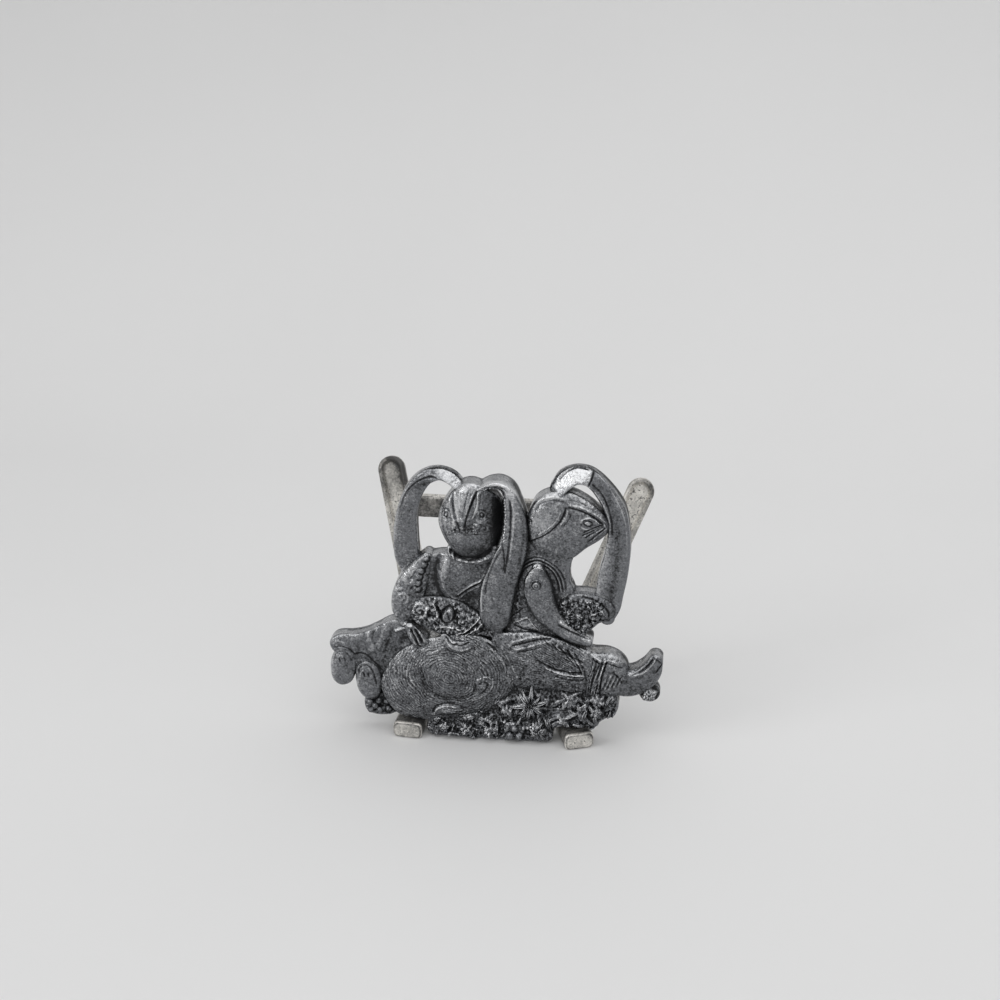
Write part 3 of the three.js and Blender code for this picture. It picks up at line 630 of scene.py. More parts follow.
# painted highlights on the brow and the cheeks
head.rub_and_paint_light_spots([
    (-9.2, 60, 0.6, 3.4, 0.5), (-7.4, 61, 1.5, 3, 0.4), (-11, 56.6, 1.6, 0.9, 0.4), (-4.6, 56.6, 1.4, 0.8, 0.3),
])
head.lines([
    (0.32, -0.42, [-10.3, 65.2], [-10.2, 63], [-9.9, 60.4], [-9.4, 58], [-8.7, 56.5]),
    (0.34, -0.48, [-4.2, 66], [-4.9, 64.2], [-5.9, 61.6], [-6.8, 58.8], [-7.3, 56.6]),
    (0.32, 0.28, [-9.8, 64.6], [-9.5, 62], [-9.1, 59.6], [-8.5, 57.6]),
    (0.3, 0.24, [-5.3, 64.6], [-6.4, 61.4], [-7.2, 58.8]),
    (0.3, -0.2, [-6.3, 65.4], [-6.9, 63], [-7.4, 60.6], [-7.8, 58.6]),
    (0.4, 0.2, [-8.5, 65.2], [-8.6, 63], [-8.4, 60.8]),
    (0.34, 0.26, [-10.9, 63.4], [-10.7, 61], [-10.2, 58.9], [-9.6, 57.4]),
    (0.34, 0.42, [-4.3, 64.6], [-4.4, 62.6], [-4.9, 60.2], [-5.5, 58.6]),
    (0.28, -0.24, [-3.6, 64.4], [-3.8, 62.4], [-4.2, 60.8]),
    (0.34, -0.22, [-11.5, 63.1], [-12.5, 60.6], [-12.9, 57.6], [-12.4, 54.8], [-11.3, 52.3], [-9.8, 50.4]),
])
print(head.name, head.x.size, "points")

# %% [markdown]
# Each eye is a small bead in a dent, inside a sunk and a raised ring, with a lid above and a fold below.

# %% Doe: eyes
EYES = ((-11.7, 58.9, -14), (-3.4, 59.4, 14))
for eye_x, eye_z, lean in EYES:
    head.hump(eye_x, eye_z, 1.1, 1.4, -0.25)
    head.bead(eye_x, eye_z, 0.4, 0.26, squash=0.8)
    head.ring(eye_x, eye_z, 0.68, 0.26, -0.22, squash=0.74, turn=lean)
    head.ring(eye_x, eye_z, 1.0, 0.26, 0.2, squash=0.72, turn=lean)
    head.line([[eye_x - 0.9, eye_z + 1.2], [eye_x, eye_z + 1.5], [eye_x + 0.9, eye_z + 1]], 0.28, -0.24)
    head.line([[eye_x - 0.9, eye_z - 1], [eye_x + 0.1, eye_z - 1.5], [eye_x + 1, eye_z - 0.9]], 0.28, 0.26)
print("eyes:", len(EYES))

# %% [markdown]
# The ragged edge of fur over the chin is a crowd of short strokes and tiny beads, laid at random along one
# curve. The random numbers have a seed, so the same fur grows each time.

# %% Doe: nose and fringe
head.bead(-7.9, 56.3, 0.5, 0.4, squash=1.3)
fringe = [[-11.6, 54.4], [-10.2, 55.2], [-8.9, 55.9], [-7.9, 56], [-6.8, 55.4], [-5.6, 55.5], [-4.4, 55.5],
          [-3.2, 55.9], [-2.2, 56]]
draw = np.random.default_rng(3)
strokes, specks = dots(fringe, 30), dots(fringe, 44)
for px, pz in strokes:
    lean, top, foot = draw.uniform(-0.35, 0.35), draw.uniform(0.1, 0.8), draw.uniform(0.1, 0.8)
    head.line([[px, pz + top], [px + lean, pz - foot]], 0.26, draw.choice([-0.26, 0.14, -0.2]))
for px, pz in specks:
    head.bead(px + draw.uniform(-0.2, 0.2), pz + draw.uniform(-0.6, 0.7), draw.uniform(0.16, 0.26), 0.14)
head.line([[-11, 53.9], [-9.6, 54.6], [-8.2, 54.9], [-6.8, 54.3], [-5.2, 54.6], [-3.4, 54.6]], 0.4, -0.16)
print("strokes and beads:", len(strokes) + len(specks))

# %% [markdown]
# Painted highlights run down the brow and the cheeks as bright streaks. Painted shade darkens the eyes, the
# chin and the shaded side of the hood.

# %% Doe: painted highlights and painted shade on the face
head.rub_and_paint_light_spots([
    (-7, 55.6, 5, 0.7, -0.3), (-8, 63.6, 2, 2.2, 0.5), (-4.6, 61.6, 0.7, 2.4, 0.3), (-9.7, 57.6, 0.5, 1.4, 0.9),
    (-8.9, 61.6, 0.45, 2.4, 0.9), (-6.6, 61.4, 0.4, 2.6, 0.6), (-4.5, 60.9, 0.3, 1.7, 0.9),
    (-12.9, 58, 0.5, 3, 0.5), (-7.8, 65.4, 1.6, 0.7, 0.7), (0.8, 58.5, 1.6, 6, -1.2), (-6, 50.8, 5, 2.4, -0.7),
])
head.rough(0.45, 0.28, around(-10.6, 57.2, 2.2, 2.4))
head.rough(0.45, 0.28, around(-4, 57.2, 2.6, 1.6))
# painted shade over each eye
for eye_x, eye_z in ((-11.7, 58.9), (-3.4, 59.4)):
    head.rub(around(eye_x, eye_z, 0.9, 0.8), -0.35)
head.rub_and_paint_light_spots([
    (-10.4, 56.8, 1.4, 0.7, 0.45), (-12.2, 61.4, 0.7, 1.6, 0.5), (-0.2, 58, 2.3, 6.6, -0.8),
    (-9.6, 60.4, 0.6, 3, 0.7), (-4.8, 61.6, 0.6, 1.6, 0.5), (-8.6, 53.2, 1.4, 1.2, 0.25),
])
head.rough(0.7, 0.1, lambda x, z: 0.4 + np.clip((z - 55.4) / 2, 0, 0.6))
print("most rubbed:", round(float(head.tone.max()), 2))

# %% [markdown]
# The collar is a soft band under the chin, in two rolls, with low beads along the lower one.

# %% Doe: collar
collar = pad("doe_collar", [
    [-6.6, 45.9, 3.8], [-9.8, 46.7, 3.8], [-11.7, 48.4, 3.6], [-11.6, 50.2, 3.6], [-9, 50.6, 3.6], [-4, 50.4, 3.6],
    [-0.2, 51, 3.6], [-0.2, 48.6, 3.8], [-2.8, 46.4, 3.8],
], 4.6, [[-10.6, 48.8], [-9, 47.9], [-6.7, 47.6], [-4.4, 47.9], [-1.4, 49.2]])
collar.line([[-10.9, 49.8], [-9.7, 48.5], [-7.7, 47.7], [-5.1, 47.8], [-2.9, 48.9], [-1.3, 50.4]], 0.8, -0.7)
collar.beads([[-10, 47.9], [-8, 47.1], [-6.4, 46.9], [-4.4, 47.1], [-2.8, 47.9]], 1.3, 0.42, 0.14)
collar.line([[-11.1, 48.9], [-9.8, 47.5], [-8.2, 47], [-6.2, 46.8], [-4.2, 47.1], [-1.8, 48.2]], 0.32, 0.26)
for k in range(4):
    collar.line([[-11.4 + 0.5 * k, 50 - 0.1 * k], [-11 + 0.45 * k, 47.8 - 0.25 * k]], 0.3, (0.3, -0.3)[k % 2])
# painted highlight at the collar's left end
collar.rub(around(-10.8, 48.6, 0.8, 1.4), 1.2)
collar.rough(0.5, 0.12)
print(collar.name, collar.x.size, "points")

# %% [markdown]
# The bodice is a smooth bib that swells over the chest. A broad crease runs down its left side, and three
# thin lines at its right are the edge of the shawl.

# %% Doe: bodice
bodice = pad("doe_bodice", [
    [-17.4, 46.6, 3.4], [-13.6, 48.2, 3.4], [-9, 48, 3.5], [-4, 47.8, 3.5], [-0.6, 46, 3.5], [-1.2, 40, 3.6],
    [-3.4, 33, 3.6], [-9.6, 31, 3.6], [-16, 33, 3.6], [-17.8, 37, 3.5], [-18.6, 42, 3.4],
], 4.1, [[-10, 36], [-9.4, 43]], roundness=2.6)
bodice.humps([(-8.4, 42.6, 3.9, 4.2, 1.2), (-12.2, 44, 0.7, 3.4, 0.5, -4)])
bodice.lines([
    (1.1, -0.34, [-13.4, 48.2], [-14.1, 46], [-14.5, 43.4], [-14.4, 40.8], [-13.6, 38.4], [-12.4, 36.6]),
    (0.4, 0.14, [-11.4, 47.4], [-12.6, 45.6], [-13.1, 43.4], [-13.1, 41.4], [-12.4, 39.4], [-11.2, 37.8],
     [-9.8, 36.8]),
    (0.44, 0.44, [-9.4, 38], [-7.7, 39.7], [-5.9, 41.1], [-3.6, 42.2]),
    (0.32, -0.55, [-9.6, 37.4], [-7.9, 39.1], [-6, 40.5], [-4, 41.5]),
    (0.3, 0.24, [-9.5, 36.2], [-8.9, 37.1], [-7.7, 38.4], [-5.9, 39.8], [-4, 40.7]),
    (0.32, 0.3, [-9.6, 36.2], [-9.4, 34.8], [-8.7, 33.6]),
])
bodice.hump(-6.4, 36.8, 1.9, 1.9, -0.5)
# painted highlight down the bib's upper left edge, painted shade below the shawl lines
bodice.rub_and_paint_light_spots([(-12, 46, 0.9, 2, 0.9), (-12.8, 42.6, 0.6, 3, 0.5), (-6.2, 37, 2, 1.6, -0.3)])
bodice.hatch(40, 0.7, 0.05, around(-9, 42, 3, 4))
bodice.rough(0.6, 0.1)
bodice.shift_tone_all(-0.15)
print(bodice.name, bodice.x.size, "points")

# %% [markdown]
# The sleeve is a long drop. A buttoned seam of small scallops runs down its edge, and leaves of the bouquet
# lie over its cuff.

# %% Doe: sleeve
sleeve = strap("doe_sleeve", [
    [-16.4, 47.2, 1.2, 4.4], [-18, 44.4, 2.4, 4.8], [-19.8, 40.6, 3.4, 5], [-21.2, 36.8, 3.7, 5],
    [-22, 33, 3.1, 4.8], [-22, 30, 1.8, 4.2],
], roundness=2.5, wall=0.6)
scallops = [[-16.6, 47], [-17.3, 45.2], [-18, 43.2], [-18.6, 41.2], [-18.6, 39.2]]
for k, (sx, sz) in enumerate(dots(scallops, 6)):
    sleeve.hump(sx, sz, 0.6, 0.6, 0.3)
    sleeve.line([[sx - 0.6, sz - 0.75], [sx + 0.3, sz - 0.9], [sx + 0.9, sz - 0.2], [sx + 0.8, sz + 0.6]], 0.36, -0.5)
    sleeve.line([[sx - 2.2, sz - 0.6], [sx - 1.4, sz + 0.3], [sx - 1, sz + 1]], 0.34, (0.26, -0.26)[k % 2])
sleeve.line([[-17.4, 47.8], [-19, 45.4], [-20.6, 43.4], [-22.4, 41]], 0.7, 0.2)
for k in range(14):
    leaf_x, leaf_z = -24 + 4.6 * ((k * 0.618) % 1), 31.4 + 8 * ((k * 0.382) % 1)
    sleeve.leaf(leaf_x, leaf_z, 75 + 60 * math.sin(k * 2.1), 1.9, 0.45, 0.35)
sleeve.line([[-22.6, 29.2], [-21, 29.9], [-19, 30.2]], 0.6, 0.4)
# painted highlight on the sleeve's swell
sleeve.rub(around(-20.8, 43, 1.4, 1.6), 0.35)
sleeve.rough(0.55, 0.2)
print(sleeve.name, sleeve.x.size, "points")

# %% [markdown]
# Both ears of the doe loop up from the crown and hang down. They are flat ribbons: where they pass over the top
# they turn their flat face to the sky and catch the light, and then they twist and face the front. Leaning the
# ribbon's face back along the loop gives that turn. The left one hangs free beside the head.

# %% Doe: left ear
def loop_lean(start, end, amount):
    """A lean that is full on part of a strap and dies away over the next tenth."""
    return lambda along: amount * np.clip((along - start) / 0.06 + 1, 0, 1) * np.clip((end - along) / 0.1 + 1, 0, 1)


TURN_LINE = [[-13.9, 66.9], [-15.4, 67], [-17.8, 66], [-19.9, 64.4], [-21.6, 62], [-22.5, 59.4]]
left_ear = strap("doe_left_ear", [
    [-9, 65.2, 1.0, 3.2], [-10.8, 66.8, 1.15, 3], [-13.4, 67.7, 1.15, 2.8], [-15.9, 67, 1.5, 2.8],
    [-18, 65.2, 1.9, 2.9], [-19.8, 62.3, 2.15, 3.2], [-21, 58.6, 2.3, 3.4],
    [-21.5, 54.9, 2.6, 3.5], [-21.6, 50.8, 2.8, 3.5],
    [-21.4, 46.4, 2.8, 3.4], [-20.9, 43.2, 2, 3],
], seat=0, back=0.08, roundness=3.6, wall=0.78)
left_ear.tilt(loop_lean(0.0, 0.2, 1.2))
left_ear.line(TURN_LINE, 0.32, -0.34)
left_ear.line([[x - 0.25, z + 0.4] for x, z in TURN_LINE], 0.3, 0.14)
left_ear.line([[-15.2, 64.6], [-17, 62.4], [-18.3, 58.6], [-18.9, 54.6], [-19, 50]], 0.4, -0.14)
# painted highlight where the loop leaves the crown, painted shade along the rest of the loop and a little down the
# hanging part
left_ear.rub(lambda x, z: ramp(x, -13.8, 2) * ramp(z, 64, 1.5), 0.7)
left_ear.rub(around(-16, 65.2, 1.6, 1), -0.5)
left_ear.rub(lambda x, z: ramp(x, -13.6, -1.6) * ramp(z, 63, 2), -0.6)
left_ear.rub(lambda x, z: ramp(x, -16.5, -2) * ramp(z, 62, -3), -0.05)
left_ear.rough(0.6, 0.07)
print(left_ear.name, left_ear.x.size, "points")

# %% [markdown]
# The right ear lies over the dress down to the lap. Small beads run along its inner edge, like a ribbon's
# trim, and one engraved line down its middle gives it a fold.

# %% Doe: right ear
right_ear = strap("doe_right_ear", [
    [-4.2, 64.9, 0.8, 5.0], [-1.9, 66.1, 1.0, 5.4], [0.5, 66.3, 1.2, 5.6], [2.4, 64.8, 1.6, 5.7],
    [3.3, 62, 2, 5.8], [3.9, 58.4, 2.6, 5.9], [4, 54.4, 3.1, 6], [3.2, 50, 3.5, 6.1], [1.6, 45, 3.7, 6.1],
    [0.1, 40, 4, 6.1], [-0.5, 35.2, 3.9, 6.1], [-0.4, 31.4, 3, 5.9], [-0.3, 28.9, 1.2, 5],
], roundness=2.8, wall=0.64)
right_ear.tilt(loop_lean(0.0, 0.16, 1.0))
right_ear.lines([
    (0.36, -0.4, [2.9, 63.4], [3.2, 60.4], [3.1, 56.6], [2.8, 52.6], [2.4, 48.6], [1.8, 45]),
    (0.36, 0.22, [3.5, 63], [3.9, 60.2], [3.8, 56.6], [3.4, 52.4], [3, 48.6]),
    (0.6, -0.14, [5, 61.6], [5.9, 58.6], [6.2, 55], [5.8, 51], [5, 47]),
])
beaded_edge = [[-3.6, 64.8], [-1.9, 65.6], [-0.1, 65.3], [1.3, 63.8], [1.8, 61.4], [1.9, 58.6], [1.7, 55.8],
               [1.5, 53.2]]
for k, (px, pz) in enumerate(dots(beaded_edge, 24)):
    right_ear.bead(px + 0.12 * math.sin(k * 2.3), pz, 0.32, 0.4)
right_ear.lines([
    (0.34, 0.36, [0.9, 51.8], [-0.5, 49.6], [-1.5, 47.6], [-2.3, 45.4], [-3, 42.9], [-3.5, 40.3], [-3.7, 37.4],
     [-3.6, 34.6]),
    (0.3, -0.42, [1.2, 52.6], [1.5, 50.8], [1.7, 49.2], [1.8, 47.4], [1.6, 45.8]),
    (0.3, -0.4, [1, 50.6], [-0.1, 48.8], [-1, 46.8], [-1.8, 44.6], [-2.4, 42], [-2.7, 39.4]),
])
right_ear.hump(-0.4, 36, 2, 5, 0.25)
# painted highlight on the top of the loop
right_ear.rub(lambda x, z: ramp(z, 63.6, 1.2), 1.1)
right_ear.hump(2.6, 63, 1.4, 1.6, 0.4)
right_ear.rough(1.1, 0.2, around(1, 65.4, 4, 2))
# painted highlights down the ear's outer side
right_ear.rub_and_paint_light_spots([(4.6, 61, 1.2, 3, 0.35), (4.4, 63.4, 1.6, 2, 0.6), (4.4, 57, 2.6, 5, 0.25)])
right_ear.rough(0.6, 0.1)
print(right_ear.name, right_ear.x.size, "points")

# %% [markdown]
# The bouquet has one coiled bud, one open rosette and leaves that trail to the right. Many small leaves are
# strewn over the pad first, and the two flowers are then laid over them as domes.

# %% Doe: bouquet
bouquet = pad("doe_bouquet", [
    [-20.8, 33.6, 4], [-19, 36.6, 4], [-15.6, 37.4, 4], [-9.6, 36.8, 4], [-5.4, 34.4, 4], [-2, 31.6, 4.4],
    [1.4, 29.2, 4.6], [0.4, 27.6, 4.6], [-3.4, 28, 4.6], [-7.4, 27.4, 4.8], [-12.4, 27.6, 4.8], [-17, 29, 4.6],
    [-20, 31, 4.2],
], 5.0, [[-17.6, 33], [-11, 31.8], [-3.6, 29.4]], wall=0.65)
bouquet.pebbled(0.7, 0.3)
ground = bouquet.h.copy()
draw = np.random.default_rng(7)
for k in range(90):
    bouquet.leaf(draw.uniform(-19, -0.5), draw.uniform(28, 36), draw.uniform(-60, 60) + 180 * (k % 2),
                 draw.uniform(1, 2.2), draw.uniform(0.24, 0.45), draw.uniform(0.3, 1.0), ground=ground)
bouquet.dome(-11.5, 33.2, 1.8, 6.2, squash=1.4, turn=66)
bouquet.rough(0.6, 0.14)
bouquet.ring(-11.5, 33.2, 1.55, 0.42, -0.6, squash=1.4, turn=66)
bouquet.ring(-11.5, 33.1, 0.95, 0.34, 0.3, squash=1.5, turn=66)
bouquet.lines([
    (0.34, -0.35, [-12, 34.8], [-11.4, 33.4], [-11.2, 31.8]),
    (0.4, -0.5, [-14.4, 35.6], [-13.6, 34], [-13.4, 32.2], [-13.8, 30.6]),
    (0.4, 0.5, [-15, 35.8], [-14.3, 34.2], [-14.1, 32.4]),
])
bouquet.dome(-18.1, 34, 2.2, 5.8)
bouquet.ring(-18.1, 33.9, 1.7, 0.5, 0.34)
bouquet.swirl(-18, 33.8, 1.2, 1.6, 0.22)
bouquet.rough(0.5, 0.1, around(-18, 34, 2.4))
bouquet.lines([
    (0.4, 0.3, [-19.8, 35], [-18.6, 35.9], [-17.2, 35.6]),
    (0.4, 0.5, [-14.6, 29.6], [-12.6, 30], [-10.6, 30], [-8.4, 29.4]),
    (0.42, 0.7, [-10.2, 27.8], [-7.7, 29], [-5.8, 30.7], [-3.8, 33]),
    (0.34, -0.5, [-9.4, 27.6], [-7, 29], [-4.4, 31.6]),
    (0.42, 0.7, [-8.9, 27.4], [-6.4, 28.7], [-3.4, 31.4]),
])
bouquet.rough(0.4, 0.16)
bouquet.shift_tone_all(-0.2)
# The bouquet's sides and rim are darkened against the painted highlight that upper-left slopes get further down.
bouquet.tone -= 0.8 * (1 - bouquet.free)
print(bouquet.name, bouquet.x.size, "points")

# %% [markdown]
# Two small paws hold the bouquet from below. Their toes are parted by deep lines.

# %% Doe: paws
left_paw = strap("doe_left_paw", [
    [-20.6, 29.4, 1.1, 5.6], [-19.4, 27.6, 1.7, 6.1], [-17.9, 25.6, 1.8, 6.1], [-16.9, 24.2, 1.1, 5.6],
], seat=4.5, back=2.4, roundness=3)
left_paw.lines([
    (0.36, -0.6, [-20.4, 29], [-19.3, 27.2], [-18.4, 25], [-17.4, 24.2], [-16.6, 25.2]),
    (0.4, -0.8, [-19.4, 29.2], [-18.4, 27.6], [-17.5, 25.6]),
    (0.36, 0.3, [-20.9, 28.6], [-20, 27], [-19, 25]),
    (0.4, 0.3, [-19.8, 29], [-18.9, 27.3], [-18, 25.2]),
    (0.4, 0.3, [-18.5, 29], [-17.7, 27.6], [-16.9, 26.2]),
    (0.5, 0.4, [-21.4, 29.6], [-20, 29.9], [-18.6, 30]),
])
left_paw.rub(around(-19, 27, 4, 4), -0.25)
left_paw.rough(0.45, 0.2)

right_paw = strap("doe_right_paw", [
    [-12.4, 27.4, 1.0, 6.2], [-10.6, 25.8, 1.4, 6.8], [-8, 25.4, 1.5, 6.8], [-6, 26.2, 1.0, 6.2],
], seat=4.5, back=2.4, roundness=3)
right_paw.lines([
    (0.36, -0.5, [-12, 27.8], [-10.4, 26.4], [-8, 26], [-6.2, 26.8]),
    (0.36, 0.3, [-11.8, 26.6], [-10.2, 25.2], [-8, 24.8], [-6, 25.4]),
])
right_paw.bead(-10.4, 27, 0.7, 0.5, squash=1.4, turn=-30)
# painted highlight on the right paw
right_paw.rub(around(-9.6, 26, 1.2, 0.7), 0.5)
right_paw.rough(0.45, 0.16)
print("paws:", left_paw.x.size, right_paw.x.size, "points")

# %% [markdown]
# The skirt is one large egg. It is engraved all over with fine strokes that run in rings round the haunch. A
# small crossed fold curls at its right, and the sole of a foot shows at its lower edge.

# %% Doe: skirt
skirt = pad("doe_skirt", [
    [-28.2, 12.4, 4], [-27.1, 16.9, 4.2], [-24.2, 21.6, 4.4], [-19.2, 25.2, 4.8], [-12.9, 27.4, 5],
    [-4.3, 28, 5.2], [0.6, 25.4, 5.3], [3.8, 20.9, 5.2], [4.6, 16.5, 4.9], [2.4, 11.8, 4.6],
    [-3.1, 7.2, 4.4], [-9.8, 4.9, 4.2], [-17.6, 4.1, 4.2], [-24.4, 5.6, 4.2],
], 6.4, [[-16.5, 15.6], [-7.5, 17]], roundness=2.1)
skirt.humps([(-11.4, 17.4, 4.8, 4, 0.6), (-22.6, 13.4, 3, 4, 0.25)])
skirt.line([[-17.6, 20], [-18, 18], [-17.6, 15.9], [-16.6, 13.9], [-15, 12.3], [-13, 11.4], [-10.6, 11.2],
            [-8.4, 11.6], [-6.6, 12.6]], 1.1, -0.16)
skirt.hump(-2.6, 14.8, 2, 2.4, 0.4)
skirt.ring_strokes(-11.2, 17.2, 0.56, 0.125, lambda x, z: 1 - around(-2.6, 14.4, 2.6)(x, z), squash=1.25,
                   turn=-12)
skirt.ring_strokes(-2.6, 14.8, 0.5, 0.09, around(-2.6, 14.6, 2.6), squash=0.85, turn=30)
skirt.pebbled(0.42, 0.11)
skirt.lines([
    (0.34, 0.24, [-4.9, 16.6], [-3.3, 17.6], [-1.7, 17.6], [-0.8, 16.4], [-1.2, 14.8], [-2.6, 13], [-4.4, 11.7],
     [-6.1, 11.1]),
    (0.4, -0.3, [-4.3, 15.6], [-3, 16.4], [-2.1, 15.9], [-2.7, 14.3], [-4.3, 12.7]),
    (0.36, -0.3, [-6.2, 12.2], [-5.2, 14.2], [-4.8, 16]),
    (0.32, 0.26, [-24.8, 20.2], [-23.8, 21.8], [-22.4, 23.4]),
    (0.34, 0.2, [-16.8, 22.6], [-14.6, 23.6], [-12.4, 25]),
])
skirt.hump(-11.4, 7.4, 3.4, 1.2, 0.5)
skirt.lines([
    (0.36, 0.4, [-15.2, 6.5], [-14.4, 8], [-12.9, 8.9], [-11.4, 9.1], [-9.6, 8.8]),
    (0.36, -0.32, [-15.6, 6.8], [-14.8, 8.5], [-13.1, 9.6], [-11.2, 9.9], [-9, 9.4], [-7.4, 8.6]),
    (0.34, -0.24, [-14.4, 6.1], [-12.4, 6.3], [-10, 6.9], [-8.4, 7.7]),
    (0.34, -0.4, [-2.4, 26.6], [0, 24.6], [1.8, 22.3], [3, 19.8], [3.5, 17.2]),
    (0.34, 0.22, [-1.8, 25.6], [0.2, 23.8], [1.6, 21.6], [2.7, 19.2]),
])
for dot_x, dot_z in ((-19.2, 20), (-18.3, 19.6), (-19.8, 19), (-18.7, 20.9), (-19.6, 21.8), (-17.9, 21.3)):
    skirt.bead(dot_x, dot_z, 0.3, 0.24)
# painted highlight at the top of the skirt, painted shade beside the haunch
skirt.rub_and_paint_light_spots([(-14.2, 23.6, 2.6, 1.8, 0.25), (-16.8, 15, 1.6, 3, -0.25)])
skirt.rough(1.4, 0.12)
print(skirt.name, skirt.x.size, "points")

# %% [markdown]
# The hem trails behind the doe in broad soft folds and stays darker than the skirt.

# %% Doe: hem
hem = pad("doe_hem", [
    [-40.4, 23.2, 3.2], [-38.8, 25, 3.2], [-34.6, 25.6, 3.2], [-31.8, 26.4, 3.3], [-29, 27.9, 3.4], [-25.1, 30, 3.6],
    [-19.6, 29, 3.8], [-18.8, 24.8, 3.8], [-22.6, 19.4, 3.8], [-25.6, 14.6, 3.6], [-29.6, 13, 3.6],
    [-34.9, 17.2, 3.5], [-38, 19.6, 3.3], [-39.9, 21.2, 3.2],
], 4.1, [[-36, 22], [-30.4, 22.2], [-25.4, 23.4]], roundness=2.8)
hem.lines([
    (0.6, 0.3, [-30.7, 27], [-31, 25.9], [-31.1, 24]),
    (0.6, -0.22, [-29.4, 27.2], [-29.9, 25.4], [-30, 23.4]),
    (0.9, 0.22, [-26.6, 28.8], [-27.8, 25.6], [-28.6, 22]),
    (0.8, -0.18, [-25.2, 28], [-26.2, 24.6], [-27, 21]),
    (0.6, 0.2, [-39.8, 22.8], [-38.4, 23.8], [-36.4, 23.2]),
    (0.6, 0.4, [-24.6, 27.4], [-22.8, 28.2], [-20.8, 28.7]),
    (0.34, -0.3, [-39.4, 21.8], [-37.6, 22.4], [-35.6, 21.8], [-34.4, 20.6]),
    (0.34, -0.4, [-34.6, 20.2], [-33.1, 20.9], [-31.6, 20.6], [-30.1, 19.2], [-28.6, 17.6], [-27.8, 16.6]),
])
hem.hatch(66, 0.9, 0.07, around(-27, 23, 5, 5))
# painted highlight on one fold
hem.rub(around(-30.9, 25.6, 0.5, 1.2), 0.5)
hem.rough(0.9, 0.14)
hem.shift_tone_all(-0.25)
print(hem.name, hem.x.size, "points")

# %% [markdown]
# Two long feet stick out under the hem. Their pads are plain, and an engraved arch marks off the toes.

# %% Doe: feet
rear_foot = pad("doe_rear_foot", [
    [-37.8, 22, 3.4], [-39.8, 19.8, 3.2], [-40.4, 16.3, 3.2], [-39.8, 13, 3.2], [-38, 11.7, 3.2],
    [-35.6, 12.6, 3.2], [-34.1, 16.2, 3.4], [-34.2, 20.4, 3.6],
], 4.4, [[-37.6, 15], [-37.3, 18]], roundness=3)
rear_foot.lines([
    (0.34, -0.26, [-39.4, 18.6], [-38.8, 20.4], [-37.3, 21.1], [-35.9, 20.4], [-35.1, 18.6]),
    (0.34, 0.24, [-38.4, 19.4], [-37.7, 20], [-37, 19.6]),
    (0.32, -0.36, [-38.1, 19.5], [-37.8, 18.2]),
    (0.32, -0.3, [-36.9, 19.6], [-36.5, 18.4]),
])
# painted highlight on the sole
rear_foot.rub(around(-37.6, 13.6, 2, 1.8), 0.16)
rear_foot.rough(0.8, 0.08)

front_foot = pad("doe_front_foot", [
    [-31.4, 19, 4], [-33.8, 17.6, 3.6], [-34.3, 14.4, 3.4], [-33.6, 10.6, 3.4], [-31.6, 8.6, 3.4], [-29.2, 8.9, 3.4],
    [-27.9, 12.6, 3.6], [-28.6, 17.2, 3.8],
], 5.0, [[-31.4, 12], [-31.2, 15.5]], roundness=3)
front_foot.lines([
    (0.34, -0.32, [-33.5, 15.6], [-33, 17.3], [-31.6, 18.1], [-30.3, 17.3], [-29.6, 15.6], [-29.1, 13]),
    (0.36, 0.26, [-33.1, 14.8], [-32.8, 16.2], [-32, 16.9]),
    (0.32, -0.4, [-32.2, 16.2], [-31.9, 14.8]),
    (0.32, -0.34, [-31.1, 16.2], [-30.9, 14.9]),
])
# painted highlight on the sole
front_foot.rub(around(-31.8, 11, 1.8, 2), 0.14)
front_foot.rough(0.8, 0.08)
print("feet:", rear_foot.x.size, front_foot.x.size, "points")

# %% [markdown]
# The buck is seen from the side. A sharp brow line runs to the tip of the nose, a curved crease parts the back
# of the head from the cheek, and a few whisker lines are cut beside the mouth. His jaw runs into the neck.

# %% Buck: head
profile = pad("buck_head", [
    [6.7, 54.6, 3.6], [6.7, 57.8, 3.4], [7.5, 60.9, 3.3], [9, 63.4, 3.3], [12.1, 65, 3.3], [16.4, 65.2, 3.3],
    [19.8, 63.7, 3.3], [22.6, 61.6, 3.3], [25.3, 58.2, 3.4], [25.5, 56.2, 3.4], [23.6, 53.9, 3.5],
    [20.4, 51.6, 3.7], [17.2, 48.8, 3.6], [13.6, 47.6, 3.6], [10.4, 48.8, 3.6], [7.8, 51.8, 3.6],
], 5.3, [[12.4, 57.6], [19.6, 57.8]], roundness=2.2)
profile.humps([(10.9, 59.4, 2.8, 3, 0.55), (12.6, 63.4, 3, 1.0, 0.25), (18.4, 55.6, 3, 2.4, 0.45)])
profile.lines([
    (0.32, -0.4, [7.4, 52.8], [9.4, 53.9], [11.5, 55.3], [13.3, 57.1], [14.6, 58.9], [15.3, 60.6], [15.7, 62]),
    (0.32, 0.22, [9.2, 54.8], [11.1, 56.2], [12.9, 58], [14, 59.7], [14.6, 61.2]),
    (0.3, 0.26, [14.4, 57.6], [15.6, 59.6], [16.1, 61.2]),
    (0.3, -0.26, [15.1, 57.2], [16.3, 59], [16.8, 60.6]),
    (0.32, -0.45, [16.1, 61.9], [18.5, 61.4], [20.5, 60.6], [22.3, 59.5], [24.3, 57.9]),
    (0.34, 0.34, [16.3, 62.6], [18.7, 62.2], [20.8, 61.3], [22.8, 60.1], [24.6, 58.6]),
    (0.3, -0.2, [16.4, 63.6], [18.4, 63.2], [20.4, 62.3]),
    (0.34, -0.26, [8.4, 60.6], [9.8, 62.4], [12.4, 63.4], [15.2, 63.1]),
    (0.4, 0.22, [8.1, 61.4], [9.6, 63.2], [12.3, 64.2], [15.4, 63.9]),
])
profile.bead(20.7, 58.4, 0.44, 0.2, squash=1.7, turn=-12)
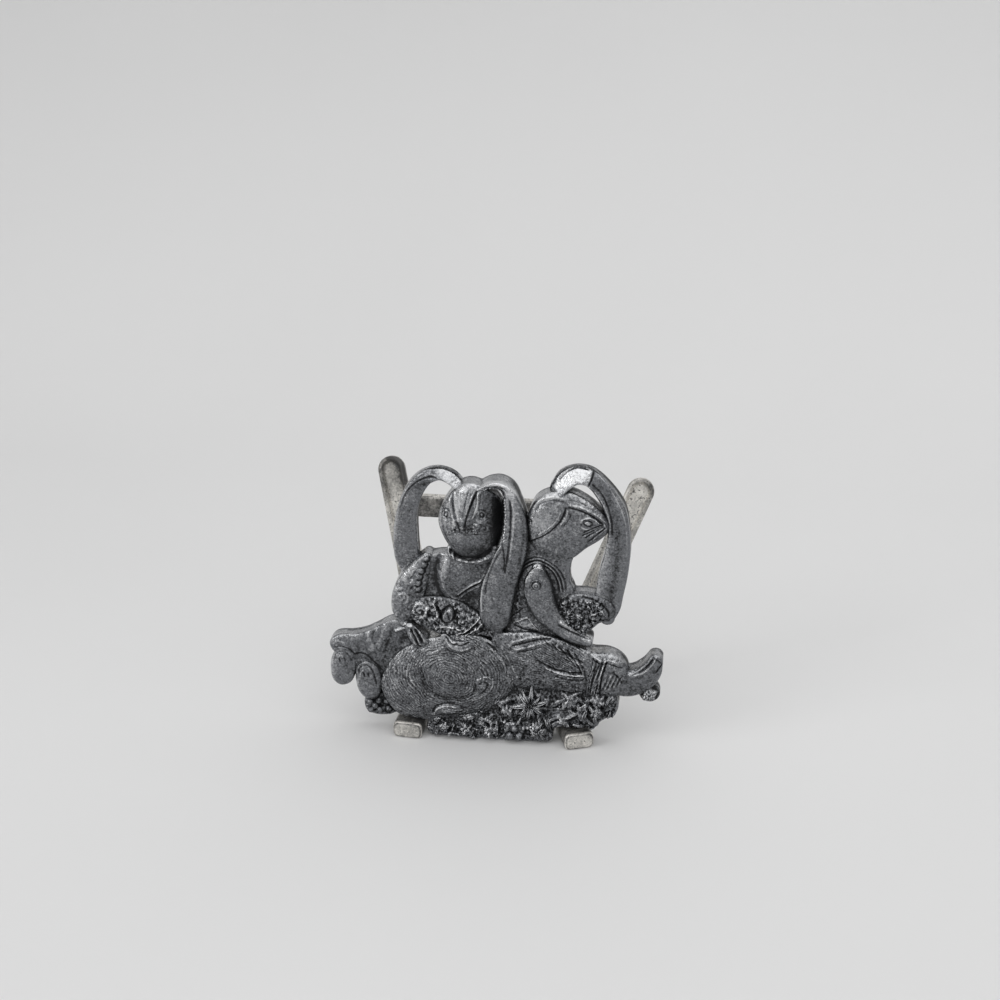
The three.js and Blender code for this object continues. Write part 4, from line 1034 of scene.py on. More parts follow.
profile.ring(20.7, 58.4, 0.62, 0.26, -0.22, squash=1.7, turn=-12)
profile.lines([
    (0.3, 0.3, [18.9, 58.4], [19.6, 59.3], [20.9, 59.7], [22.3, 59.2], [23.4, 58.2]),
    (0.28, 0.24, [19.3, 57.5], [20.4, 57], [22, 57.3]),
])
whiskers = np.array([
    [[19.7, 56.1], [20.9, 56.9], [23.9, 57.9]], [[20.1, 54.9], [21.9, 56.2], [24.2, 57.5]],
    [[21, 53.9], [22.6, 55.4], [24.6, 57.2]], [[19.4, 55.4], [21.4, 56.5], [24, 57.7]],
])
for whisker in whiskers:
    profile.line(whisker, 0.26, -0.36)
    profile.line(whisker + [[0.2, -0.35], [0.2, -0.35], [0, -0.3]], 0.26, 0.22)
profile.line([[23.8, 58.4], [24.6, 57.6], [24.9, 56.6]], 0.4, 0.3)
# painted highlights on the crown, the brow and the swell of the skull, painted shade by the mouth
profile.rub_and_paint_light_spots([
    (12.6, 64, 3.4, 0.9, 0.3), (19.6, 62.9, 3.4, 0.9, 0.35), (11.2, 57.4, 3.4, 3.6, 0.2),
    (9.4, 57, 4.4, 4.4, 0.7), (17, 53, 4, 3, 0.15), (8.2, 62.4, 1, 1.6, 0.4), (21, 57, 2.4, 2, -0.2),
])
profile.rough(0.7, 0.1)
print(profile.name, profile.x.size, "points")

# %% [markdown]
# His ear rises from the back of the head, turns over the top, where its flat face catches the light, and
# hangs down the right edge of the relief.

# %% Buck: ear
buck_ear = strap("buck_ear", [
    [13.4, 65.4, 1.7, 3.6], [15.3, 67.8, 2, 3.1], [17.9, 69.05, 1.8, 3], [20.6, 68.6, 1.8, 3.1],
    [23.8, 65.5, 2.1, 3.5], [26.6, 61, 2.4, 3.9], [27.6, 55.9, 2.5, 4.1], [27.5, 50.7, 2.9, 4.2],
    [26.7, 45.4, 3.3, 4.2], [25.9, 40, 3.2, 4.2], [25.7, 36.4, 2.8, 4.1], [25.5, 33.6, 1.8, 3.6],
], seat=0, back=0.08, roundness=3.6, wall=0.78)
buck_ear.tilt(loop_lean(0.0, 0.16, -1.5))
buck_ear.lines([
    (0.34, -0.5, [21.8, 70.4], [21.2, 68.4], [20.2, 66.2]),
    (0.34, -0.3, [13.6, 67.6], [15.6, 69.6], [18, 70.6], [20.6, 70.2]),
    (0.3, 0.22, [22.6, 69.4], [24.9, 67], [27.2, 63.4], [28.9, 59.2], [29.5, 54.6], [29.7, 50]),
    (0.3, -0.36, [21.4, 67.2], [23.6, 64.8], [25.2, 61.4], [26, 58.2], [26.2, 55]),
    (0.32, 0.22, [20.9, 66.5], [22.8, 64.3], [24.6, 61], [25.5, 58], [25.6, 54.6]),
    (2.2, -0.22, [24, 65.4], [26.4, 61], [27.6, 56], [27.6, 50.6], [27, 45], [26.3, 40], [26, 36]),
])
# painted highlight on the left part of the loop's top and a little down the hanging part
buck_ear.rub(lambda x, z: ramp(x, 21.2, -0.5) * ramp(z, 65, 1.5), 1.9)
buck_ear.rub(lambda x, z: ramp(x, 21.6, 0.8) * ramp(z, 54, 8), 0.3)
buck_ear.rub(lambda x, z: ramp(z, 52, -6), 0.15)
buck_ear.rough(0.7, 0.08)
# painted shade over the loop's top, which leaves its right part dark
buck_ear.rub(lambda x, z: ramp(z, 64, 2), -0.8)
print(buck_ear.name, buck_ear.x.size, "points")

# %% [markdown]
# His shirt shows curved folds that run round the shoulder in near rings, each a little wider than the last.

# %% Buck: shirt
shirt = pad("buck_shirt", [
    [6.6, 52.6, 3.6], [10.4, 50.4, 3.6], [14, 49.8, 3.6], [17.4, 50.4, 3.5], [16.8, 46.4, 3.3], [16.8, 42.9, 3.3],
    [17.8, 40.4, 3.3], [16.4, 33, 3.4], [12.6, 26.6, 3.8], [2.2, 26.4, 3.8], [2.2, 34, 3.4], [3.2, 42, 3.4],
    [5.4, 48, 3.4],
], 4.2, [[8.6, 32], [10.6, 46]])
shirt.hump(12.6, 49, 3, 2.4, 0.3)
for k in range(6):
    grow = 0.52 * k
    arc = [[4.4 - 0.1 * k, 39.8 - 0.2 * k], [4.9 - 0.4 * grow, 43 + 0.2 * grow],
           [6.4 - 0.35 * grow, 45.8 + 0.6 * grow], [9.2, 47.2 + 0.75 * grow], [12.2 + 0.4 * grow, 45.8 + 0.6 * grow],
           [13.8 + 0.7 * grow, 43 + 0.4 * grow], [14.4 + 0.75 * grow, 40 + 0.1 * grow]]
    shirt.line(arc, 0.34, 0.22 - 0.03 * k if k % 2 else -0.42 + 0.05 * k)
shirt.pebbled(0.6, 0.4, around(4.2, 37, 1.6, 6))
shirt.lines([
    (0.34, 0.36, [3.6, 31.6], [5.4, 32.4], [7, 33], [8.3, 31.4], [9.7, 29.9]),
    (0.34, -0.5, [3.9, 31], [6.2, 30], [9.4, 29.4]),
    (0.34, -0.3, [3.2, 33.2], [5, 34.6], [6.2, 35.8]),
])
shirt.hump(6.6, 31.2, 1.5, 0.8, 0.5)
# painted highlight on the fold at the shirt's foot
shirt.rub(around(7.4, 30.8, 1.7, 0.8), 1.3)
shirt.rough(0.6, 0.12)
print(shirt.name, shirt.x.size, "points")

# %% [markdown]
# The arm lies over the shirt like a long drop, brighter towards the paw, with one button at the top.

# %% Buck: arm and button
arm = strap("buck_arm", [
    [9.4, 46, 1.6, 5.4], [9.3, 43, 3.1, 6.1], [9.8, 39, 3.5, 6.2], [11.6, 35, 3.0, 6.2], [14.6, 31.6, 2.3, 6.1],
    [18, 29.2, 1.8, 6], [21.2, 27.9, 1.2, 5.6],
], roundness=2.4, wall=0.55)
arm.line([[6.5, 42.6], [7, 44.4], [8.1, 46], [9.5, 46.7], [11, 45.8], [12, 43.8]], 0.4, 0.3)
arm.rub(around(8.6, 46.6, 1.6, 1), 0.7)
arm.hatch(20, 0.6, 0.05, around(10.6, 37, 3, 6))
arm.lines([
    (0.8, 0.45, [14.6, 33.5], [17.2, 32], [19.2, 30.9], [21.4, 29.7]),
    (0.34, -0.45, [14.2, 32.6], [17, 31], [19.4, 29.8], [21.6, 28.8]),
    (0.34, 0.16, [15.2, 30.7], [17.4, 29.4], [20, 28.2]),
])
arm.rub(lambda x, z: ramp(x, 13.4, 2) * ramp(z + x, 48.7, 0.6), 1.0)
arm.rough(0.6, 0.1)

BUTTON_Z = 42.6
button = pad("buck_button", disc(BUTTON_X, BUTTON_Z, 1.5, 12), 6.7, [[BUTTON_X, BUTTON_Z]], seat=4.8, back=4.2,
             roundness=3, wall=0.4, cell=FINE_CELL)
button.ring(BUTTON_X, BUTTON_Z, 1.05, 0.28, -0.5)
button.ring(BUTTON_X, BUTTON_Z, 0.7, 0.26, 0.2)
button.bead(BUTTON_X, BUTTON_Z, 0.3, 0.25)
button.rub(around(BUTTON_X, BUTTON_Z, 2.4), -0.35)
button.rough(0.5, 0.07)
print("arm and button:", arm.x.size, button.x.size, "points")

# %% [markdown]
# The posy in his paw is a ball of tiny blossoms: large grains and small ones laid over each other. Only the
# curled petal at its right is smooth.

# %% Buck: posy
posy = pad("buck_posy", [
    [14.2, 37.4, 3.2], [16.2, 39.6, 3.2], [19.4, 40.2, 3.2], [22.8, 39.8, 3.2], [26, 38.6, 3.4], [27.4, 36.4, 3.6],
    [26.5, 34.1, 3.6], [23.8, 32.6, 3.5], [21.7, 30.6, 3.4], [19.1, 28.8, 3.5], [15.9, 30.4, 3.6], [14, 33.8, 3.4],
], 5.2, [[18.6, 34.4], [22, 35.6]], roundness=3)


def inside_posy(x, z):
    """Leaves the curled petal at the right of the posy smooth."""
    return ramp(x, 25.4, -1.2) * ramp(z, 39.4, -1.2)


posy.pebbled(1.0, 0.34, inside_posy)
posy.pebbled(0.42, 0.4, inside_posy)
posy.rough(0.4, 0.22)
for px, pz, size in ((19.2, 34.6, 1.0), (20.4, 31.6, 1.0), (22.4, 35.8, 0.8), (17, 35.6, 0.7)):
    posy.bead(px, pz, size, 0.3)
posy.lines([
    (0.32, -0.5, [19.6, 39.4], [22, 39], [24.4, 37.8], [25.8, 36], [25.9, 34.6]),
    (0.32, 0.26, [20, 38.6], [22.2, 38.2], [24.2, 36.8], [25, 35]),
])
posy.bead(15.3, 37.8, 1.1, 0.7)
posy.ring(15.3, 37.8, 0.55, 0.28, -0.3)
posy.rub(around(15.3, 38, 1.4), -0.5)
posy.shift_tone_all(-0.65)
print(posy.name, posy.x.size, "points")

# %% [markdown]
# The trousers are gathered at the waist and hatched like coarse cloth, in a different direction on each part.

# %% Buck: trousers
trousers = pad("buck_trousers", [
    [-1, 28.2, 4.8], [4.6, 29.4, 4.5], [9.6, 29.4, 4.5], [14.2, 28.4, 4.7], [18.4, 26.6, 4.4], [22, 25, 4.4],
    [22.6, 20.9, 4.9], [20.6, 14.6, 4.9], [13.4, 14.9, 4.9], [6, 14.8, 4.9], [2, 16.4, 4.9], [-0.4, 22, 5],
], 6.0, [[8.4, 21.8], [15.6, 21]], roundness=2.6)
trousers.lines([
    (0.34, 0.34, [3.4, 27.1], [6.5, 28.1], [9.1, 28.8], [12.6, 29]),
    (0.34, -0.55, [3.6, 26.2], [6.6, 27.1], [9.6, 28], [12.8, 28.4]),
    (0.34, 0.32, [4.4, 25.3], [7.4, 26.2], [10.5, 27.3], [12.6, 27.9]),
    (0.34, -0.32, [4.8, 24.6], [7.6, 25.3], [10.5, 26.3]),
    (0.32, 0.2, [3, 24.4], [5.4, 24.6], [7.6, 24.3]),
    (0.36, -0.5, [9.4, 22.9], [11.9, 21.6], [13.8, 20.8], [15.6, 20.3], [17.9, 20.1], [20.2, 20.2]),
    (0.36, 0.4, [11.4, 21.2], [13.8, 20.1], [15.6, 19.6], [17.9, 19.4], [20.4, 19.4]),
    (0.34, -0.36, [13.6, 18.9], [16, 18.3], [18.4, 18], [20.4, 18.2]),
    (0.34, -0.4, [16, 25.2], [17.6, 24.3], [19, 23.5], [20.6, 22.7]),
    (0.34, 0.3, [15.4, 24.6], [17, 23.7], [18.8, 22.8], [20.4, 22.1]),
    (0.36, 0.2, [1.2, 25.6], [2.6, 22.8], [4, 20], [5, 17.6]),
])
for k in range(9):
    fold = [[11 + 0.9 * k, 28 - 0.34 * k], [14 + 0.8 * k, 26 - 0.6 * k], [17.2 + 0.5 * k, 24.6 - 0.85 * k]]
    trousers.line(fold, 0.3, (-0.34, 0.2)[k % 2])
# painted highlights at the waist and along the lower folds, painted shade on the upper folds and near the hem
trousers.rub_and_paint_light_spots([
    (3.4, 26, 2, 1.4, 0.5), (6.4, 23.4, 2, 1.2, 0.3), (16, 18.9, 3, 0.6, 0.4), (15.6, 24.4, 3.4, 1.8, -0.45),
    (19, 17.4, 2.4, 1.6, -0.3),
])
trousers.hatch(-32, 0.5, 0.22, around(15, 24, 6, 4))
trousers.hatch(6, 0.5, 0.2, around(18, 17.6, 5, 3))
trousers.hatch(-10, 0.54, 0.12, around(7.6, 20, 4, 5))
trousers.pebbled(0.45, 0.12)
trousers.rough(0.8, 0.16)
trousers.shift_tone_all(-0.12)
print(trousers.name, trousers.x.size, "points")

# %% [markdown]
# Turned-up cloth bunches over the shoe in many upright folds, each a little different, so they are drawn at
# random from a seed.

# %% Buck: cuff
cuff = pad("buck_trouser_cuff", [
    [20.4, 24.8, 4.6], [23.2, 24.9, 3.8], [26.2, 24.8, 3.6], [28.8, 23.6, 3.6], [30.6, 21.2, 3.7], [30.2, 16.8, 4],
    [28.1, 13.1, 3.8], [23.4, 12.2, 3.8], [17.8, 13.9, 4.8], [18.4, 19.2, 4.9],
], 5.4, [[24.4, 17.6], [25.6, 20.6]], roundness=2.6)
draw = np.random.default_rng(11)
for k in range(22):
    start = 18.6 + 0.28 * k + draw.uniform(-0.12, 0.12)
    low_end, high_end, bow = draw.uniform(13, 16), draw.uniform(20.6, 24.2), draw.uniform(-0.2, 0.2)
    fold = [[start - 0.2, low_end], [start + 0.4 + bow, (low_end + high_end) / 2], [start + 1.4, high_end]]
    cuff.line(fold, 0.3, (0.34, -0.4)[k % 2])
for k in range(9):
    start = 25.2 + 0.55 * k
    fold = [[start - 1, 15 + 0.2 * k], [start, 17.4 + 0.2 * k], [start + 0.6, 20 - 0.1 * k]]
    cuff.line(fold, 0.34, (0.16, -0.2)[k % 2])
cuff.lines([
    (0.34, -0.45, [20.3, 13.6], [20.6, 16.6], [21.2, 19.6], [22, 23.4]),
    (0.34, -0.4, [22.4, 23.6], [24.4, 22.4], [26, 22.6], [27.8, 22], [29.6, 21.4]),
    (0.34, 0.3, [22.6, 24.3], [24.6, 23.2], [26.4, 23.4], [28.4, 22.8]),
    (0.34, -0.3, [27.2, 20.6], [28.6, 19], [29.6, 17.2]),
])
cuff.hatch(62, 0.45, 0.08, around(24, 18, 4, 6))
cuff.rub(around(25.8, 24.2, 2.4, 0.8), -0.3)
cuff.rough(0.55, 0.14)
print(cuff.name, cuff.x.size, "points")

# %% [markdown]
# The shoe points up, with a sole line round its toe, and stays dark.

# %% Buck: shoe
shoe = strap("buck_shoe", [
    [27.8, 16.6, 3, 4.9], [31, 16.9, 3.4, 5], [34, 18.3, 3.2, 5], [36, 20.6, 2.7, 5], [37, 23.1, 1.9, 4.8],
], roundness=2.4, wall=0.55)
shoe.lines([
    (0.36, 0.3, [37.2, 24.4], [36.4, 23], [35.3, 21.6], [33.9, 20.4], [31.6, 19.2]),
    (0.32, -0.5, [36.5, 24.2], [35.6, 22.8], [34.6, 21.5], [33.4, 20.4]),
    (0.34, -0.5, [38.7, 22.9], [37.8, 21.6], [37.2, 20.6]),
    (0.34, -0.35, [36.2, 24.6], [37.4, 24], [38.6, 23]),
    (0.32, 0.22, [30.8, 19.4], [33.2, 21], [34.8, 22.8]),
])
shoe.shift_tone_all(-0.45)
shoe.rough(0.9, 0.09)
print(shoe.name, shoe.x.size, "points")

# %% [markdown]
# The bed is where a founder's tool was busiest: blades, buds and torn leaves over each other. Leaves are laid
# over a low lumpy ground, each to its own height, so that deep black gaps stay between bright edges.

# %% Flower bed
bed = pad("grass_bed", [
    [-16.4, 5.2, 4], [-16.6, 0.9, 4.6], [-11.7, 0.5, 5], [-3.9, 0.3, 5], [3.3, 0.2, 5], [10.5, 0.5, 4.6],
    [13.1, 0.8, 4], [13.8, 4.2, 3.6], [22.9, 4.9, 3.4], [25.1, 6.7, 3.4], [28.2, 8.9, 3.4], [28.8, 11.5, 3.6],
    [27.6, 14.4, 4], [20.5, 16, 4.4], [13, 17, 4.6], [6.4, 17.4, 4.6], [3, 15.6, 4.6], [0.2, 11.8, 4.6],
    [-4, 8.6, 4.4], [-10, 6.4, 4.2],
], 5.0, [[-14.4, 2.8], [-4, 3.6], [6, 7.6], [14, 10], [25, 10]], roundness=3.4)
bed.pebbled(0.6, 0.3)
bed.shift_tone_all(-0.5)
ground = bed.h.copy()
BLADES, BUDS = 170, 44
DAISY_X, DAISY_Z = 8, 10.7
draw = np.random.default_rng(41)
for k in range(BLADES):
    lx, lz = draw.uniform(-15.4, 27.6), draw.uniform(0.8, 15.2)
    near_daisy = math.hypot(lx - DAISY_X, lz - DAISY_Z) < 6.5  # blades there lie a millimetre lower
    bed.leaf(lx, lz, draw.uniform(0, 360), draw.uniform(2.6, 5), draw.uniform(0.4, 0.7),
             draw.uniform(0.7, 2.2) - near_daisy, vein=0.45, ground=ground)
for x, z, petals, reach in ((-7.4, 3, 6, 1.9), (-12.6, 3.4, 5, 1.6), (-1.6, 3, 7, 2), (17.6, 12.4, 6, 2.2),
                            (23.6, 9.6, 6, 1.9), (2.6, 8.6, 5, 1.8), (24.4, 13, 5, 1.8)):
    for k in range(petals):
        bed.leaf(x, z, k * 360 / petals + 11 * x, reach, 0.5, draw.uniform(1.9, 2.4), vein=0.4, ground=ground)
    bed.bead(x, z, 0.5, 0.4)
for k in range(BUDS):
    bed.bead(draw.uniform(-15.6, 4) if k % 5 else draw.uniform(4, 27), draw.uniform(0.8, 5.6),
             draw.uniform(0.34, 0.56), draw.uniform(0.4, 0.7))
bed.rough(0.4, 0.12)
bed.tone[bed.first :] -= 0.15
print("bed:", bed.x.size, "points")


# %% [markdown]
# A flower is petals round an eye. Long thin petals give the large daisy, short round ones the small flowers.

# %% Flowers
def blossom(name, x, z, reach, petals, half, front, seat, eye, back):
    """Two layers of petals round an eye, on a round pad that stays dark between them."""
    made = pad(name, disc(x, z, reach, 16), seat + 0.35, [[x, z]], seat=seat, back=back, roundness=3, wall=0.1,
               cell=FINE_CELL)
    base = made.h.copy()
    made.tone[made.first :] = -1
    for layer, (length, lift, wide) in enumerate(((1.0, 0.8, 1.0), (0.78, 1.0, 0.6))):
        for k in range(petals):
            angle = 17 + layer * 180 / petals + k * 360 / petals + 9 * math.sin(k * 1.7)
            petal = reach * length * (0.84 + 0.16 * math.sin(k * 2.4))
            made.leaf(x, z, angle, petal, half * wide, (front - seat) * lift * 0.85, vein=0.3, ground=base)
    made.tone = np.where(made.tone > 0, made.tone * 1.9, made.tone * 1.4)
    made.bead(x, z, eye, 0.5)
    made.pebbled(0.5, 0.2, around(x, z, eye))
    made.rough(0.4, 0.08)
    return made


blossom("large_flower", DAISY_X, DAISY_Z, 5.9, 6, 0.85, 7.9, 4.2, 0.5, 4.0)
blossom("front_flower", 9.7, 3.9, 3, 10, 0.42, 7.6, 4.8, 0.7, 4.0).rub(around(9.7, 3.9, 6), -0.35)
blossom("shoe_flower", 35.9, 14.3, 2.5, 5, 1.0, 5.1, 2.6, 0.7, BURIED)
print("flowers: 3")


# %% [markdown]
# Berries are small balls half sunk in a lump of leaves.

# %% Berries
def berry_bunch(name, outline, places, front, heart, size=1.12, **shape):
    """Balls half sunk in a pad of torn leaves, dark where they meet it."""
    made = pad(name, outline, front, heart, cell=FINE_CELL, **shape)
    made.pebbled(0.7, 0.4)
    for bx, bz in places:
        picked, u, v = made.spot(bx, bz, 1.5)
        far = np.hypot(u, v) / size
        ball = front - 0.1 + 1.2 * size * np.sqrt(np.clip(1 - far**2, 0, 1))
        made.cover(picked, np.where(far < 1, ball, NOWHERE), 0.5 - 1.6 * far**2)
    made.rough(0.4, 0.2)
    made.tone -= 0.35
    return made


bunch = berry_bunch("left_berries", [
    [-32.2, 8.6], [-32, 5.2], [-30, 4.1], [-26.4, 4.2], [-24.6, 5], [-22, 5.2], [-22, 7], [-26, 9.4], [-29.4, 10.2],
], [
    [-30.9, 7.8], [-28.8, 8.2], [-30.8, 5.6], [-28.7, 5.6], [-26.5, 6.2], [-24.6, 6.6], [-26.9, 8.2], [-29.8, 6.7],
], 3.6, [[-29.6, 6.4], [-25, 6.4]], size=0.95)
bunch.rub(around(-28, 7, 9, 6), -0.5)
berry_bunch("front_berries", [
    [2.2, 1.4], [5.4, 1], [6.6, 3.4], [5, 5.6], [2, 5],
], [[3.2, 2.2], [5.4, 2.2], [4.3, 4.2]], 6.0, [[4.2, 3.2]], seat=4.4, back=4.2)
print("forms in all:", len(forms))

# %% [markdown]
# Sand casting leaves a fine grain on every surface, about half a millimetre across and a few hundredths deep.

# %% Sand grain
GRAIN_SIZE, GRAIN_HEIGHT = 0.45, 0.05
for form in forms.values():
    form.rough(GRAIN_SIZE, GRAIN_HEIGHT)
print("grain laid on", len(forms), "forms")

# %% [markdown]
# Black finish stays in the hollows of antiqued pewter, and handling brightens what stands proud. To know which
# is which, all forms are dropped on one grid that keeps the height of the frontmost one. A point of a form
# spreads its height over the four grid points round it, because its nearest one alone gives stripes.

# %% One grid for the whole relief
GRID = 0.18
LEFT, FOOT, WIDE, TALL = -44.0, -4.0, 490, 440
LEAST_WEIGHT = 0.2  # a grid point that a form touches less than this lies outside the form


def corners(x, z):
    """The four grid points round each place, and the weight of each."""
    a, b = np.clip((x - LEFT) / GRID, 0, WIDE - 2), np.clip((z - FOOT) / GRID, 0, TALL - 2)
    i, j = a.astype(int), b.astype(int)
    u, v = a - i, b - j
    return (i, j, (1 - u) * (1 - v)), (i + 1, j, u * (1 - v)), (i, j + 1, (1 - u) * v), (i + 1, j + 1, u * v)


def read(grid, x, z):
    """The grid's value at each place."""
    return sum(weight * grid[i, j] for i, j, weight in corners(x, z))


def blurred(grid, radius):
    """The grid blurred by that radius in millimetres."""
    u = np.fft.fftfreq(WIDE, GRID)[:, None]
    v = np.fft.fftfreq(TALL, GRID)[None, :]
    return np.real(np.fft.ifft2(np.fft.fft2(grid) * np.exp(-2 * (math.pi * radius) ** 2 * (u * u + v * v))))


surface = np.zeros((WIDE, TALL))
for form in forms.values():
    weights, heights = np.zeros((WIDE, TALL)), np.zeros((WIDE, TALL))
    front_x, front_z, front_h = (rows[form.first :].ravel() for rows in (form.x, form.z, form.h))
    for i, j, weight in corners(front_x, front_z):
        np.add.at(weights, (i, j), weight)
        np.add.at(heights, (i, j), weight * front_h)
    mean_height = heights / np.maximum(weights, LEAST_WEIGHT)
    surface = np.maximum(surface, np.where(weights > LEAST_WEIGHT, mean_height, 0))
print("most forward point, mm:", round(float(surface.max()), 2))

# %% [markdown]
# The grid is blurred, and each point is compared with its blurred surroundings: what lies lower is a hollow. A
# close view finds engraved lines, a wide one finds the valleys between forms. Light and shade are painted in as
# from a lamp at the upper left: slopes that face that way get a painted highlight, and the far side of every
# swelling gets painted shade, partly in its tone and partly as a deeper hollow.

# %% Hollows, and painted light from the upper left
CLOSE, WIDER = 0.4, 2.2  # blur of the two views
CLOSE_DEPTH, WIDER_DEPTH = 0.8, 1.8  # how far below its surroundings a point is fully hollow
FINE, BROAD = 0.25, 1.0  # blur of the two slopes that take the painted light


def painted_light_facing(radius):
    """How far the blurred surface faces the painted light at the upper left, about -1 to 1."""
    slope_x, slope_z = np.gradient(blurred(surface, radius), GRID)
    return np.clip(0.6 * slope_x - 0.8 * slope_z, -1, 1)


close_view, wide_view = blurred(surface, CLOSE), blurred(surface, WIDER)
fine_painted_light, broad_painted_light = painted_light_facing(FINE), painted_light_facing(BROAD)
for form in forms.values():
    fine_facing, broad_facing = read(fine_painted_light, form.x, form.z), read(broad_painted_light, form.x, form.z)
    # painted light: brighter on slopes that face the upper left, darker on the others
    form.tone += np.where(form.free > 0, 0.55 * fine_facing + 0.5 * broad_facing, 0.9 * broad_facing)
    near_drop = np.clip((read(close_view, form.x, form.z) - form.h + 0.05) / CLOSE_DEPTH, -0.5, 1)
    far_drop = np.clip((read(wide_view, form.x, form.z) - form.h) / WIDER_DEPTH, -0.4, 1)
    # painted shade deepens the hollows on slopes that face away from the upper left, painted light thins them on the
    # others
    painted_shade_scale = 1 - 0.6 * broad_facing - 0.35 * np.clip(broad_facing, 0, 1)
    form.hollow = (0.6 * near_drop + 0.5 * far_drop) * painted_shade_scale
print("deepest hollow:", round(float(max(form.hollow.max() for form in forms.values())), 2))

# %% [markdown]
# Each form becomes its own object, rides on the one body of the model and stands for its plain solid.

# %% Make the objects
cast_objects = {}
for name, form in forms.items():
    obj = form.mesh()
    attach(obj, "root")
    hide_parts(name)
    cast_objects[name] = obj
print("faces of the relief:", sum(len(o.data.polygons) for o in cast_objects.values()))

# %% [markdown]
# The plate behind the forms is the shadow of all of them together, apart from the ears that hang free and the
# small pieces that lie on others. A field holds the distance inside the nearest outline.

# %% Back plate: the field
FREE = {"doe_left_ear", "buck_ear"}
LIFTED = {"buck_button", "doe_left_paw", "doe_right_paw", "large_flower", "front_flower", "front_berries"}
STEP = 0.25
gx = np.arange(-43, 43, STEP)
gz = np.arange(-2, 72, STEP)
field_x, field_z = np.meshgrid(gx, gz, indexing="ij")
field = np.full(field_x.shape, -9.0)
for name, form in forms.items():
    if name in FREE | LIFTED:
        continue
    rim = np.stack([form.x[form.first], form.z[form.first]], axis=1)[::3]
    ring = closed_path(rim)
    (left_x, foot_z), (right_x, top_z) = rim.min(0) - 1, rim.max(0) + 1
    box = (field_x > left_x) & (field_x < right_x) & (field_z > foot_z) & (field_z < top_z)
    px, pz = field_x[box], field_z[box]
    inside = np.zeros(px.shape, bool)
    for (ax, az), (bx, bz) in zip(ring, ring[1:]):
        crosses = (az > pz) != (bz > pz)
        inside ^= crosses & (px < (bx - ax) * (pz - az) / (bz - az + 1e-12) + ax)
    gap = nearest(px, pz, ring)[0]
    field[box] = np.maximum(field[box], np.where(inside, gap, -gap))
print("plate field:", field.shape)

# %% [markdown]
# The field's zero line is the plate's outline. Tracing it is a small puzzle: every cell of the field that holds
# both signs gets one or two short pieces of line, and pieces that share a cell edge are threaded into loops.

# %% Back plate: the loops
SMALLEST_LOOP = 12  # shorter ones are crumbs of the field


def trace_loops(values, xs, zs):
    """Closed loops of [x, z] where the field is zero."""
    links = {}

    def cut(a, b):
        t = values[a] / (values[a] - values[b])
        return (xs[a[0]] + (xs[b[0]] - xs[a[0]]) * t, zs[a[1]] + (zs[b[1]] - zs[a[1]]) * t)

    four = [values[:-1, :-1], values[1:, :-1], values[:-1, 1:], values[1:, 1:]]
    for i, j in np.argwhere((np.maximum.reduce(four) > 0) & (np.minimum.reduce(four) <= 0)):
        around_cell = [(i, j), (i + 1, j), (i + 1, j + 1), (i, j + 1)]
        falling, rising = [], []
        for a, b in zip(around_cell, around_cell[1:] + around_cell[:1]):
            if (values[a] > 0) != (values[b] > 0):
                (falling if values[a] > 0 else rising).append(tuple(sorted((a, b))))
        links.update(zip(falling, rising))
    loops = []
    while links:
        loop, edge = [], next(iter(links))
        while edge in links:
            loop.append(cut(*edge))
            edge = links.pop(edge)
        if len(loop) > SMALLEST_LOOP:
            loops.append(np.array(loop))
    return loops


plate_loops = trace_loops(field, gx, gz)
print("plate loops:", [len(loop) for loop in plate_loops])

# %% [markdown]
# A flat curve filled between the loops gives a sheet with true openings, and the curve's own bevel rounds its
# edges. The sheet is drawn lying down, and its points are then stood up behind the forms.

# %% Back plate: the sheet
PLATE_EDGE = 0.3
plate_curve = bpy.data.curves.new("back_plate_outline", "CURVE")
plate_curve.dimensions = "2D"
plate_curve.fill_mode = "BOTH"
plate_curve.bevel_depth = PLATE_EDGE * MM
plate_curve.bevel_resolution = 2
plate_curve.offset = -PLATE_EDGE * MM
plate_curve.extrude = (SEAT / 2 - PLATE_EDGE) * MM
for loop in plate_loops:
    length = path_length(closed_path(loop))
    if length < 4:
        continue
    rows = even_path(loop, int(length / 0.35), closed=True)
    rows = (np.roll(rows, 1, axis=0) + 2 * rows + np.roll(rows, -1, axis=0)) / 4
    spline = plate_curve.splines.new("POLY")
    spline.points.add(len(rows) - 1)
    spline.use_cyclic_u = True
    for point, (px, pz) in zip(spline.points, rows):
        point.co = (px * MM, pz * MM, 0, 1)
drawn = new_object("back_plate_drawn", plate_curve)
bpy.context.view_layer.update()
flat = bpy.data.meshes.new_from_object(drawn.evaluated_get(bpy.context.evaluated_depsgraph_get()))
bpy.data.objects.remove(drawn)
co = np.zeros(len(flat.vertices) * 3, np.float32)
flat.vertices.foreach_get("co", co)
co = co.reshape(-1, 3) / MM
flat.vertices.foreach_set("co", to_frame(co[:, 0], co[:, 2] + SEAT / 2, co[:, 1]).astype(np.float32).ravel())
keep_marks(flat, np.zeros(len(co)), np.zeros(len(co)))
plate = new_object("back_plate_cast", flat)
work = bmesh.new()
work.from_mesh(flat)
bmesh.ops.remove_doubles(work, verts=work.verts, dist=0.002 * MM)
bmesh.ops.recalc_face_normals(work, faces=work.faces)
work.to_mesh(flat)
work.free()
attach(plate, "root")
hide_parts("back_plate")
cast_objects["back_plate"] = plate
print("plate faces:", len(flat.polygons))

# %% [markdown]
# The stand is two flat bars, each bent once: a rail on the table and an arm that leans back and outward, with a
# shallow dish in the arm's face. A bar is a row of rounded sections carried along its path, close enough that
# the bend and the round tip read as one smooth casting. These are the sections, and the bar that they make.

# %% Bars
CORNER_STEPS, CORNER_TURN = 7, 15  # points round a section's corner, and degrees between them


